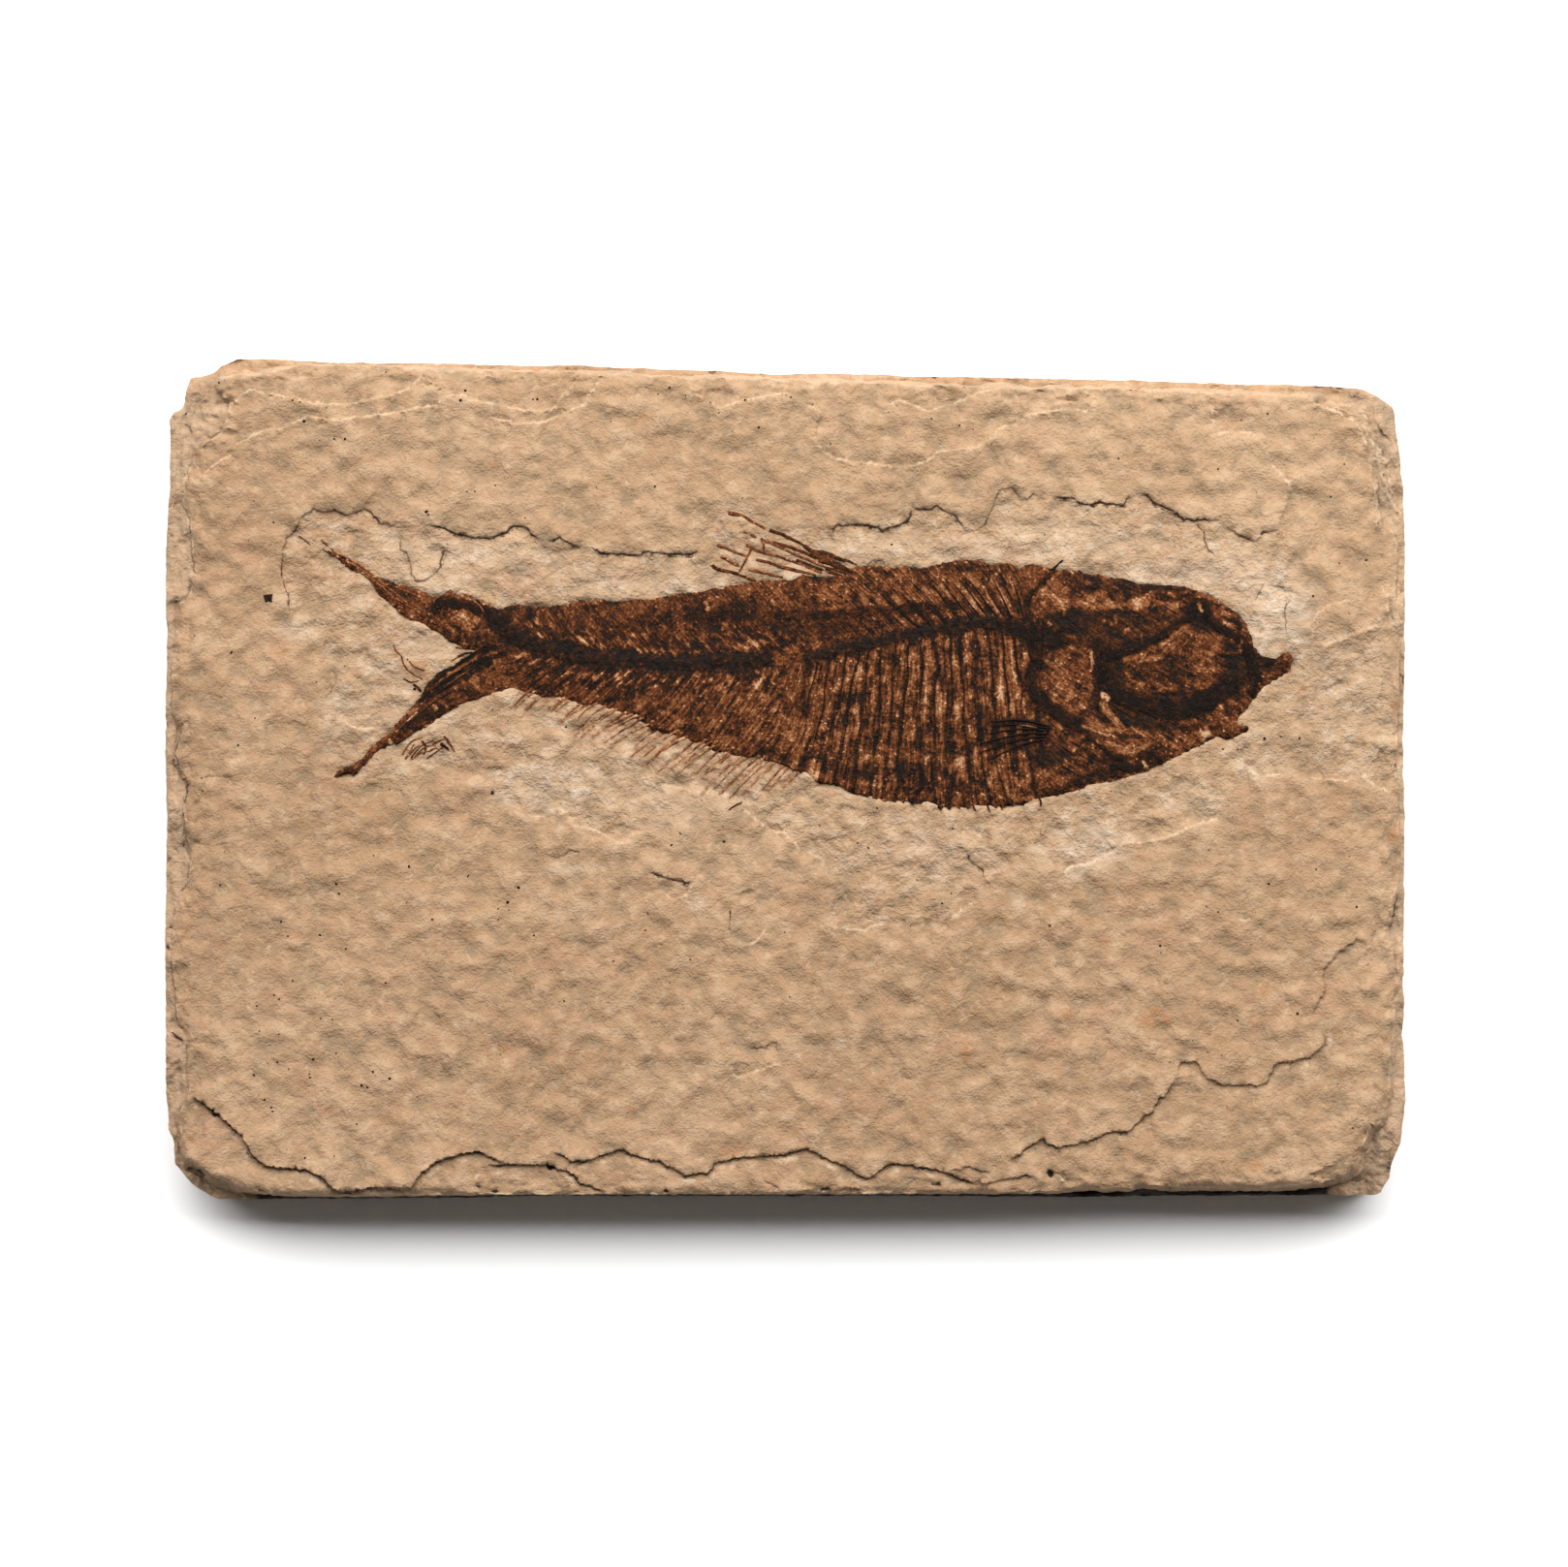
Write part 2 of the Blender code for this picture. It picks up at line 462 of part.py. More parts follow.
def boolean(piece, operation, tools):
    """Join or cut a piece with every object of a collection."""
    group = bpy.data.collections.new(piece.name + "_" + operation.lower())
    for tool in tools:
        group.objects.link(tool)
    modifier = piece.modifiers.new(operation, "BOOLEAN")
    modifier.operation = operation
    modifier.operand_type = "COLLECTION"
    modifier.collection = group
    modifier.solver = "EXACT"


def build_fish():
    """The fish: body and tail in relief, with the fin rays joined to it."""
    creases = []
    for line, half_width, _ in fish_ridges():
        creases += [line, shifted(line, half_width), shifted(line, -half_width)]
    creases.append(closed(GILL_COVER))
    creases.append(closed(shifted(GILL_COVER, LEDGE_WIDTH, loop=True)))
    fish = solid("fish", FISH_OUTLINE, creases, FISH_SPACING, fish_height, [(FISH_FLOOR, 0)],
                 FOSSIL_BONE)
    rays = [strip(f"ray_{i}", line, width, width * RAY_TAPER, RAY_RISE, -RAY_SINK)
            for i, (line, width) in enumerate(fin_rays())]
    boolean(fish, "UNION", rays)
    return fish


def build_scrap():
    """The loose scrap of tail rays beside the fish."""
    return solid("tail_ray_scrap", SCRAP_OUTLINE, SCRAP_RIDGES, FISH_SPACING, scrap_height,
                 [(SCRAP_FLOOR, 0)], FOSSIL_BONE)


def bed(name, outline, floor):
    """The hollow that a fossil piece lies in, cut a little larger and deeper than the piece."""
    top = FACE_HEIGHT + ABOVE_FACE
    return solid(name, shifted(outline, GAP, loop=True), [], SLAB_LENGTH,
                 lambda flat: np.full(len(flat), top), [(floor - GAP, 0)], None)


def build_slab():
    """The slab: its face with the ledges, its split sides, and the bed that the fish lies in."""
    creases = []
    for line, _ in LEDGES:
        creases += [shifted(line, LEDGE_WIDTH / 2), shifted(line, -LEDGE_WIDTH / 2)]
    for outline in (RECESS_OUTLINE, FACE_OUTLINE):
        creases.append(closed(outline))
        creases.append(closed(shifted(outline, LEDGE_WIDTH, loop=True)))
    rings = list(zip(SEAM_HEIGHTS, SEAM_INSETS)) + [(0, FOOT_INSET)]
    slab = solid("slab", SLAB_OUTLINE, creases, SLAB_SPACING, rock_height, rings, LIMESTONE)
    beds = [bed("fish_bed", FISH_OUTLINE, FISH_FLOOR),
            bed("scrap_bed", SCRAP_OUTLINE, SCRAP_FLOOR)]
    slots = [strip(f"slot_{i}", line, width + 2 * GAP, width * RAY_TAPER + 2 * GAP, ABOVE_FACE,
                   -RAY_SINK - GAP, GAP) for i, (line, width) in enumerate(fin_rays())]
    boolean(slab, "DIFFERENCE", beds + slots)
    return slab


for old in list(bpy.data.objects):
    bpy.data.objects.remove(old)
build_slab()
build_fish()
build_scrap()
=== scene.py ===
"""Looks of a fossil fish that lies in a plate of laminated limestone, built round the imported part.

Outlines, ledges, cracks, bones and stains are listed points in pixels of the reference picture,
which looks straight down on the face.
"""
import math

import bmesh
import bpy
import numpy as np
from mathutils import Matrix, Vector, noise
from mathutils.geometry import delaunay_2d_cdt
from mathutils.kdtree import KDTree


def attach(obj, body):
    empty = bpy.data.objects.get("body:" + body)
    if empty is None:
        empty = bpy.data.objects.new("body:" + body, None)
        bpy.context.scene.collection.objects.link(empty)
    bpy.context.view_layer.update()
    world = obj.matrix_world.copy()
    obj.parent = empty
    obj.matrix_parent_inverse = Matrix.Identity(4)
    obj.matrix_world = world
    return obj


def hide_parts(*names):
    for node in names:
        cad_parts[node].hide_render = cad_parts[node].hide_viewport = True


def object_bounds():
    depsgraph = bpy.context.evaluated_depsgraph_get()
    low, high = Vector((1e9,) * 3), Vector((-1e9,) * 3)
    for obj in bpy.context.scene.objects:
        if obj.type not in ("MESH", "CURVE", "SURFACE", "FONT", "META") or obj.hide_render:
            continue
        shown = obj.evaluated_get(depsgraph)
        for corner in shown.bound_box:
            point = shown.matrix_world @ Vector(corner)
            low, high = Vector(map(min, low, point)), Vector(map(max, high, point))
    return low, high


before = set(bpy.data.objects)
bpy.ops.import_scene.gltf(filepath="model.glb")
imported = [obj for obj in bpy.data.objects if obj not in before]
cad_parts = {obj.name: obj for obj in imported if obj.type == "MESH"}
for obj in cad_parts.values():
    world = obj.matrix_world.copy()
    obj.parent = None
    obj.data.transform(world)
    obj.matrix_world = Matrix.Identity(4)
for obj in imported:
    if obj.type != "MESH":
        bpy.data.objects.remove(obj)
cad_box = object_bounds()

# The picture: its size, the slab's centre and length in it, and what that makes of one pixel
PICTURE_SIZE = (1618, 1617)
SLAB_CENTRE = (810.5, 804.2)
SLAB_PIXELS = 1281
PIXEL = (cad_box[1].x - cad_box[0].x) / SLAB_PIXELS
MM = 0.001

# Rock, in millimetres unless it says pixels
FACE_HEIGHT = 11.5
LUMP_HEIGHT = 0.22
LUMP_PIXELS = (136.6, 76.9)
LUMP_LAYER = 0.7
BASIN_DEPTH = 0.42
BASIN_SLOPE = 26
FACE_SLOPE = 0.25
SEAMS = ((11.0, 0.0), (7.6, 0.15), (5.6, 0.4), (5.1, 1.0), (4.6, 0.5), (2.8, 0.3), (2.3, 0.9),
         (1.7, 0.4), (0.5, 0.45), (0.0, 0.9))
BED_OVERLAP = 0.7
RIM_FLAKES = ((0.16, 24), (0.20, 14), (0.22, 7))
STEP_SHARE = 1.4

# Where the marks of the slab's edges begin, in pixels from its centre
REAR_EDGE = 392
FRONT_EDGE = -410
FRONT_RIM = -370
FRONT_SHADE = (-565, 575, 40, 20)
FACE_ENDS = 570
LEDGE_ENDS = 560

# Fish, in millimetres unless it says pixels
RIM_RISE = 0.10
BODY_RISE = 0.26
BODY_RELAX = 17
RIB_SPACING = 13.3
SPINE_THIN = 800
BONE_RELIEF = 0.5
SCUTES = (175, 90, 9.5, 3.5)    # middle, reach, spacing and length of the belly's toothed scutes

# Extents of the bones along the fish (start, end and their soft slopes), in pixels across the picture
HEAD_START = 1072
BODY_REACH = (500, 1066, 60, 14)
RIB_REACH = (828, 1066, 40, 10)
SPINE_REACH = (900, 1070, 40, 8)
BELLY_REACH = (760, 930, 40, 40)
RIB_PHASE = 925
SPINE_PHASE = 1058
SPINE_SPACING = 15.5

# View: floor, camera and light, in metres, millimetres of film and watts
FLOOR_SIZE = 2.4
FLOOR_LEVEL = -0.00003
CAMERA_LENS = 190
SENSOR = 36
LIGHT_SIZE = (2.6, 0.85)
LIGHT_PLACE = (0.04, 0.62, 0.70)
LIGHT_POWER = 46.8
SURROUND = 0.085

# Outer edge of the slab, clockwise in the picture from the middle of the left side
SLAB_OUTLINE = [
    (172, 650), (170, 622), (171, 610), (170, 590), (171, 560), (173, 525), (175, 498), (174, 470),
    (175, 455), (174, 432), (177, 425), (187, 421), (190, 415), (191, 400), (195, 389), (207, 388),
    (220, 384), (228, 376), (237, 373), (245, 370), (270, 369.5), (300, 370.5), (350, 373.5),
    (447, 373.5), (520, 376), (600, 376), (640, 378.5), (720, 381), (757, 382.5), (800, 385.5),
    (840, 384), (900, 385), (940, 387.5), (1000, 388), (1100, 390), (1150, 391), (1195, 392.5),
    (1240, 394), (1300, 396), (1350, 397), (1408, 401), (1418, 406), (1437, 418), (1440, 424),
    (1441, 435), (1445, 470), (1449, 508), (1450, 545), (1451, 555), (1450, 600), (1450, 700),
    (1448, 760), (1449, 790), (1448, 800), (1450, 820), (1450, 926), (1449, 1000), (1448, 1010),
    (1450, 1034), (1448, 1067), (1450, 1090), (1451, 1130), (1449, 1160), (1446, 1180), (1442, 1192),
    (1437, 1204), (1436, 1218), (1430, 1226), (1427, 1233), (1421, 1235), (1330, 1235), (1202, 1236),
    (1100, 1237), (950, 1236), (800, 1236), (680, 1236), (552, 1236), (450, 1238), (370, 1238.5),
    (293, 1239), (221, 1239), (211, 1233), (196, 1222.5), (186, 1211), (178, 1202), (178, 1179),
    (173, 1166), (170.4, 1131), (170.4, 1067), (170, 1018), (170, 952), (170.4, 901), (171.5, 840),
    (170, 780), (170, 740), (171, 700)]

# Edge of the upper beds, clockwise, with how far the rock steps down outside it
FACE_EDGE = [
    (201, 592, 0.7), (198, 560, 0.8), (196, 537, 0.8), (187, 518, 0.8), (190, 497, 0.9), (197, 478, 1.0),
    (213, 457, 1.1), (228, 446, 1.1), (233, 431, 1.0), (236, 414, 1.0), (224, 402, 1.1), (228, 391, 1.3),
    (240, 388, 1.4), (260, 386, 1.4), (290, 382, 1.6), (310, 376, 1.6), (370, 377, 1.6), (440, 381, 1.7),
    (500, 383, 1.7), (600, 384, 1.8), (640, 386, 1.8), (700, 389, 1.8), (740, 390, 1.8), (800, 392, 1.8),
    (860, 394, 1.8), (940, 397, 1.8), (1000, 399, 1.8), (1060, 400, 1.7), (1150, 401, 1.6),
    (1240, 405, 1.6), (1300, 407, 1.6), (1350, 408, 1.5), (1362, 409, 1.5), (1368, 414, 1.4),
    (1378, 418, 1.4), (1392, 428, 1.2), (1400, 434, 1.2), (1410, 450, 1.1), (1416, 475, 1.0),
    (1421, 500, 0.9), (1424, 530, 0.9), (1430, 543, 0.9), (1437, 548, 0.8), (1442, 560, 0.8),
    (1442, 590, 0.7), (1438, 640, 0.7), (1444, 680, 0.7), (1443, 740, 0.7), (1441, 790, 0.7),
    (1444, 820, 0.8), (1443, 860, 0.8), (1446, 901, 0.8), (1439, 924, 0.9), (1430, 957, 1.0),
    (1438, 990, 1.0), (1444, 1018, 1.0), (1439, 1031, 1.0), (1439, 1054, 1.0), (1436, 1075, 1.0),
    (1432, 1100, 1.1), (1435, 1115, 1.1), (1432, 1140, 1.2), (1425, 1160, 1.2), (1413, 1171, 1.4),
    (1402, 1189, 2.0), (1396, 1204, 2.8), (1386, 1216, 3.1), (1350, 1222, 3.3), (1300, 1226, 3.4),
    (1240, 1224, 3.5), (1210, 1224, 3.5), (1180, 1222, 3.5), (1165, 1227, 3.5), (1130, 1225, 3.5),
    (1100, 1228, 3.5), (1050, 1230, 3.4), (950, 1231, 3.4), (860, 1232, 3.4), (740, 1231.5, 3.4),
    (620, 1232, 3.4), (500, 1232, 3.4), (392, 1234, 3.4), (300, 1233, 3.4), (262, 1229, 3.3),
    (240, 1224, 3.2), (222, 1214, 3.0), (207, 1204, 2.7), (191, 1197, 2.2), (186, 1176, 1.6),
    (184, 1150, 1.3), (195, 1128, 1.1), (191, 1105, 1.1), (192, 1080, 1.0), (183, 1054, 0.9),
    (181, 1029, 0.9), (176, 977, 0.8), (178, 952, 0.8), (186, 925, 0.8), (195, 905, 0.9), (197, 880, 1.0),
    (192, 862, 1.0), (189, 838, 0.9), (192, 812, 0.9), (184, 788, 0.8), (180, 775, 0.8), (187, 752, 0.7),
    (178, 738, 0.7), (177, 700, 0.6), (180, 660, 0.6), (185, 622, 0.7), (196, 611, 0.7)]

# Soft hollow round the fish where the upper layer was prepared away
BASIN = [
    (299, 640), (291, 580), (304, 548), (322, 530), (379, 526), (400, 541), (448, 543), (506, 556),
    (532, 545), (560, 559), (603, 565), (690, 572), (716, 560), (722, 528), (748, 516), (790, 528),
    (840, 545), (898, 542), (940, 528), (988, 535), (1020, 538), (1036, 505), (1060, 515), (1140, 520),
    (1184, 511), (1225, 536), (1258, 537), (1296, 558), (1322, 552), (1336, 606), (1328, 645),
    (1352, 662), (1421, 648), (1436, 700), (1436, 815), (1408, 802), (1350, 802), (1281, 799),
    (1257, 840), (1190, 866), (1140, 884), (1100, 899), (1060, 878), (1022, 915), (965, 958), (880, 958),
    (859, 955), (866, 926), (853, 886), (795, 857), (757, 824), (713, 812), (667, 857), (641, 870),
    (592, 851), (575, 836), (545, 843), (498, 806), (440, 792), (380, 812), (340, 802), (338, 730),
    (347, 697), (320, 655)]

# Ledges and cracks: the step, positive where the rock is higher on the left of the line's way, how
# far off the step fades (pixels), depth of the groove, darkness of the crack, and the line's points
LEDGES = [
    (-0.26, 12, 0.06, 0.35, [(198, 592), (197, 600), (193, 615), (185, 620), (171, 624)]),
    (-0.24, 10, 0, 0, [(197, 880), (196, 885), (197, 893), (195, 905), (190, 915), (183, 925)]),
    (0.24, 10, 0.1, 0.6, [(178, 742), (185, 750), (187, 755), (184, 763), (180, 775), (178, 782),
        (180, 790), (190, 800), (193, 810), (191, 825), (188, 835)]),
    (-0.26, 12, 0, 0, [(228, 446), (220, 450), (213, 457), (205, 464), (200, 470), (197, 478), (193, 487),
        (190, 497), (188, 508), (186, 518)]),
    (-0.24, 10, 0.05, 0.3, [(188, 527), (196, 535), (196, 550), (198, 560), (199, 580), (201, 592)]),
    (-0.26, 12, 0, 0, [(1413, 450), (1423, 470), (1428, 490), (1434, 510), (1447, 532)]),
    (-0.22, 10, 0, 0, [(1400, 405), (1395, 412), (1385, 418)]),
    (-0.3, 9, 0, 0, [(1350, 411), (1362, 418), (1384, 427), (1399, 436), (1406, 448), (1412, 461),
        (1416, 487), (1420, 514), (1421, 539)]),
    (-0.3, 9, 0, 0, [(1393, 410), (1412, 431), (1413, 448), (1421, 462), (1433, 476), (1434, 493),
        (1442, 523)]),
    (0.26, 10, 0.14, 0.7, [(1436, 935), (1434, 945), (1437, 955), (1443, 917)]),
    (0.3, 12, 0.06, 0.3, [(1411, 1160), (1410, 1171), (1401, 1187), (1398, 1202), (1388, 1217),
        (1378, 1220), (1363, 1217), (1350, 1215)]),
    (0.24, 10, 0.14, 0.75, [(1362, 1218), (1370, 1221), (1380, 1222)]),
    (-0.24, 10, 0, 0, [(188, 1165), (184, 1180), (180, 1195)]),
    (0.24, 10, 0.16, 0.8, [(183, 1205), (205, 1206), (212, 1214), (230, 1224), (252, 1236)]),
    (-0.3, 24, 0, 0, [(232, 432), (240, 418), (248, 408), (262, 401), (268, 405), (300, 410), (325, 417),
        (360, 417), (385, 411), (400, 409), (420, 401), (435, 388), (441, 391), (452, 401)]),
    (-0.26, 20, 0, 0, [(207, 491), (228, 474), (236, 471), (243, 460), (262, 449), (272, 444), (290, 442),
        (303, 436), (318, 429), (345, 434), (380, 429), (400, 427), (430, 421), (450, 418), (458, 408)]),
    (-0.24, 20, 0, 0, [(456, 408), (480, 407), (485, 413), (500, 415), (540, 423), (560, 424), (572, 420),
        (578, 411), (590, 399), (595, 391), (600, 385)]),
    (-0.2, 18, 0, 0, [(505, 429), (515, 433), (530, 437), (560, 436), (580, 427), (603, 417), (611, 403),
        (622, 388)]),
    (-0.3, 24, 0, 0, [(715, 404), (733, 415), (743, 421), (760, 415), (800, 406), (815, 406), (830, 417),
        (840, 420), (848, 426), (842, 441), (841, 450), (848, 465), (865, 474), (895, 478), (935, 482),
        (955, 477), (970, 466), (1010, 461), (1024, 451), (1032, 441), (1050, 437), (1060, 428),
        (1100, 422), (1122, 424), (1133, 408)]),
    (-0.2, 16, 0, 0, [(910, 418), (930, 413), (950, 421), (957, 424), (985, 416), (1010, 405),
        (1050, 400)]),
    (-0.16, 14, 0, 0, [(1248, 415), (1253, 435), (1247, 450)]),
    (-0.24, 20, 0, 0.1, [(1247, 450), (1265, 446), (1292, 446), (1305, 460), (1313, 480), (1325, 492),
        (1333, 506), (1326, 525), (1320, 541), (1320, 548)]),
    (0.24, 22, 0.1, 0.55, [(299, 638), (297, 616), (291, 595), (290, 585), (292, 566), (297, 555),
        (305, 546), (311, 534), (323, 525), (335, 529), (345, 526), (356, 532), (365, 530), (377, 525),
        (383, 528), (392, 540), (411, 542)]),
    (0.05, 6, 0.05, 0.4, [(360, 544), (364, 549), (380, 549)]),
    (0.14, 10, 0.1, 0.6, [(413, 549), (413, 568), (420, 570), (423, 585), (428, 599), (435, 600),
        (441, 598), (452, 590), (457, 570), (456, 562)]),
    (0.3, 24, 0.24, 0.9, [(441, 543), (448, 542), (460, 546), (467, 550), (480, 553), (506, 556),
        (523, 549), (531, 542), (545, 546), (549, 551), (557, 560)]),
    (0.24, 20, 0.18, 0.8, [(563, 559), (577, 555), (584, 558), (590, 563), (603, 565)]),
    (0.24, 20, 0.2, 0.85, [(608, 564), (620, 571), (661, 573), (666, 569), (690, 572), (712, 572),
        (724, 566)]),
    (0.24, 20, 0.18, 0.8, [(860, 556), (860, 545), (863, 542), (895, 542), (903, 544), (910, 547),
        (930, 541), (937, 538), (941, 523)]),
    (0.2, 16, 0.16, 0.75, [(938, 521), (948, 526), (961, 526), (966, 521), (972, 526), (986, 532),
        (997, 549)]),
    (0.16, 14, 0.08, 0.5, [(1003, 550), (1017, 541), (1022, 528), (1029, 512), (1033, 505), (1045, 503),
        (1053, 515), (1060, 516), (1067, 510), (1075, 514)]),
    (0.24, 20, 0.18, 0.85, [(1085, 513), (1105, 514), (1122, 522), (1136, 518), (1142, 520), (1160, 521),
        (1163, 514), (1170, 513)]),
    (0.24, 20, 0.18, 0.85, [(1175, 513), (1182, 510), (1191, 519), (1208, 526), (1220, 535), (1228, 537),
        (1258, 536)]),
    (0.12, 10, 0.1, 0.65, [(1232, 537), (1242, 549), (1243, 558), (1247, 567), (1257, 575)]),
    (0.22, 18, 0.14, 0.62, [(1261, 541), (1280, 553), (1295, 559), (1305, 549), (1318, 548)]),
    (-0.1, 8, 0.04, 0.3, [(1207, 545), (1207, 553), (1210, 562), (1215, 578)]),
    (0.14, 12, 0.16, 0.75, [(1307, 602), (1315, 606), (1325, 606), (1332, 604)]),
    (0.1, 8, 0.12, 0.6, [(1294, 625), (1298, 615), (1302, 607), (1307, 602)]),
    (0.12, 10, 0.06, 0.5, [(1337, 618), (1330, 620), (1326, 627), (1327, 640), (1328, 660)]),
    (0.08, 6, 0.06, 0.5, [(1303, 645), (1300, 655), (1296, 662)]),
    (-0.18, 16, 0.03, 0.2, [(1353, 640), (1355, 661), (1370, 665), (1390, 655), (1421, 646),
        (1421, 625)]),
    (-0.1, 8, 0, 0.1, [(1353, 648), (1358, 635), (1375, 622), (1400, 620)]),
    (-0.24, 18, 0, 0, [(545, 843), (560, 842), (576, 834), (585, 838), (592, 852), (613, 856), (641, 871),
        (654, 859), (667, 858)]),
    (-0.24, 18, 0, 0, [(713, 811), (740, 818), (757, 821), (770, 838), (795, 857), (810, 859), (826, 878),
        (853, 887), (853, 902), (873, 922)]),
    (-0.18, 14, 0, 0.1, [(873, 922), (866, 926), (857, 950), (859, 957), (893, 960), (900, 955),
        (920, 954)]),
    (-0.18, 14, 0, 0, [(965, 960), (975, 957), (979, 950), (993, 938), (1010, 928)]),
    (-0.14, 12, 0, 0, [(1000, 872), (1022, 848), (1040, 833), (1070, 829), (1073, 836)]),
    (-0.26, 20, 0, 0, [(1080, 883), (1090, 896), (1100, 900), (1106, 893), (1122, 893), (1150, 878),
        (1160, 868), (1178, 870), (1210, 862), (1225, 854), (1255, 845), (1257, 835), (1262, 825)]),
    (-0.24, 20, 0, 0, [(1281, 800), (1290, 796), (1305, 801), (1318, 799), (1350, 802), (1385, 806),
        (1408, 801), (1415, 808), (1438, 820)]),
    (0.16, 12, 0.22, 0.85, [(668, 900), (680, 903), (690, 907), (710, 911), (718, 907)]),
    (-0.14, 10, 0, 0, [(665, 926), (683, 918), (693, 928), (708, 924), (718, 908)]),
    (0.06, 8, 0.05, 0.4, [(562, 880), (575, 887), (589, 877), (597, 880), (598, 889)]),
    (0.18, 12, 0.12, 0.6, [(757, 930), (753, 945), (752, 955), (755, 965)]),
    (0.16, 10, 0.08, 0.5, [(755, 925), (765, 921), (783, 916)]),
    (-0.2, 12, 0, 0, [(757, 968), (770, 975), (780, 972), (788, 962), (790, 952)]),
    (0.12, 10, 0.2, 0.75, [(996, 875), (1001, 889), (1012, 896), (1020, 913), (1023, 920)]),
    (0.06, 6, 0.06, 0.5, [(1077, 838), (1077, 850), (1073, 858), (1074, 866)]),
    (0.12, 10, 0.1, 0.55, [(770, 1082), (790, 1082), (796, 1076), (800, 1076), (805, 1090)]),
    (-0.18, 12, 0, 0, [(753, 1098), (757, 1108), (762, 1112), (790, 1102), (812, 1095)]),
    (-0.12, 10, 0, 0, [(1272, 946), (1283, 950), (1300, 949)]),
    (0.05, 6, 0.04, 0.4, [(1280, 968), (1287, 975), (1297, 982)]),
    (0.05, 6, 0.04, 0.4, [(1343, 962), (1350, 969)]),
    (0.05, 6, 0.04, 0.4, [(1360, 712), (1370, 710), (1385, 702)]),
    (0.05, 6, 0.04, 0.35, [(1411, 766), (1425, 775)]),
    (0.1, 8, 0.1, 0.55, [(345, 690), (347, 700), (342, 712), (338, 720)]),
    (0.05, 6, 0.05, 0.4, [(340, 727), (335, 730), (333, 735)]),
    (0.05, 6, 0.05, 0.4, [(315, 650), (318, 658), (319, 665)]),
    (0.05, 6, 0.05, 0.4, [(303, 686), (305, 690), (309, 688), (308, 695)]),
    (-0.12, 10, 0, 0, [(345, 745), (355, 743), (363, 750), (375, 752), (395, 750)]),
    (-0.12, 8, 0, 0, [(430, 787), (447, 792), (452, 788)]),
    (0.06, 6, 0.06, 0.5, [(550, 778), (565, 784), (583, 778)]),
    (0.05, 6, 0.05, 0.4, [(512, 795), (508, 818)]),
    (0.05, 6, 0.04, 0.35, [(200, 870), (228, 872), (238, 869), (258, 879)]),
    (0.05, 6, 0.04, 0.3, [(193, 800), (220, 801), (245, 802)]),
    (0.34, 20, 0.06, 0.35, [(1214, 1110), (1219, 1096), (1235, 1097), (1244, 1112), (1262, 1120),
        (1300, 1120), (1307, 1118), (1311, 1110), (1318, 1097), (1330, 1096), (1350, 1093), (1360, 1084),
        (1367, 1079), (1367, 1070), (1362, 1060)]),
    (0.28, 18, 0.05, 0.25, [(1352, 1051), (1362, 1033), (1368, 1022), (1365, 1003), (1375, 990),
        (1400, 969), (1412, 976)]),
    (0.06, 6, 0.05, 0.4, [(1270, 1098), (1272, 1104), (1283, 1109)]),
    (0.62, 26, 0.18, 0.6, [(197, 1131), (215, 1143), (232, 1157), (250, 1174), (262, 1195), (275, 1204),
        (315, 1208), (333, 1216), (345, 1228), (355, 1231), (385, 1226), (425, 1226), (431, 1214),
        (450, 1200), (470, 1192), (493, 1189), (520, 1200)]),
    (0.42, 22, 0.16, 0.66, [(502, 1203), (535, 1202), (565, 1203), (573, 1206), (592, 1212), (598, 1222),
        (612, 1225), (626, 1232)]),
    (-0.16, 10, 0, 0, [(490, 1225), (491, 1213), (498, 1206)]),
    (0.42, 22, 0.14, 0.6, [(568, 1187), (590, 1199), (610, 1197), (637, 1187), (643, 1187), (655, 1193),
        (680, 1199), (706, 1213), (730, 1211), (740, 1200), (763, 1195), (800, 1193), (833, 1186),
        (855, 1197), (875, 1205), (883, 1212), (897, 1217), (915, 1203), (927, 1201), (945, 1204),
        (975, 1210), (995, 1219), (1010, 1223)]),
    (0.24, 14, 0.1, 0.6, [(975, 1210), (1000, 1204), (1010, 1208), (1025, 1210)]),
    (0.24, 14, 0.1, 0.6, [(1003, 1217), (1018, 1222), (1040, 1217), (1060, 1213), (1073, 1216)]),
    (0.36, 20, 0.12, 0.58, [(1040, 1198), (1045, 1196), (1060, 1185), (1077, 1175), (1080, 1180),
        (1090, 1185), (1110, 1181), (1130, 1176), (1148, 1168), (1165, 1168), (1182, 1152), (1190, 1148),
        (1196, 1133), (1203, 1131), (1214, 1110)]),
    (0.2, 12, 0.1, 0.6, [(785, 1213), (790, 1220), (800, 1224), (810, 1231)]),
    (0.16, 10, 0.08, 0.5, [(868, 1225), (880, 1226), (890, 1230)]),
    (0.16, 10, 0.08, 0.5, [(932, 1229), (938, 1222), (947, 1215)]),
    (-0.24, 12, 0, 0.1, [(1413, 450), (1427, 468), (1433, 480), (1428, 488), (1435, 515), (1447, 532)]),
    (-0.16, 10, 0, 0.1, [(1421, 600), (1433, 615), (1431, 625), (1440, 655), (1444, 680)]),
    (0.3, 10, 0.2, 0.9, [(171, 1063), (180, 1068), (191, 1079)]),
    (0.2, 10, 0.14, 0.7, [(171, 548), (180, 555)]),
    (0.3, 12, 0.1, 0.6, [(183, 1205), (205, 1214), (226, 1237)]),
    (-0.3, 10, 0, 0, [(1089, 1210), (1099, 1220), (1104, 1228)]),
    (-0.14, 10, 0, 0.1, [(1400, 978), (1408, 981), (1415, 984)]),
    (0.05, 6, 0.05, 0.5, [(1250, 1084), (1254, 1086), (1262, 1082)]),
    (-0.16, 12, 0, 0, [(673, 808), (700, 813), (735, 820), (770, 826)]),
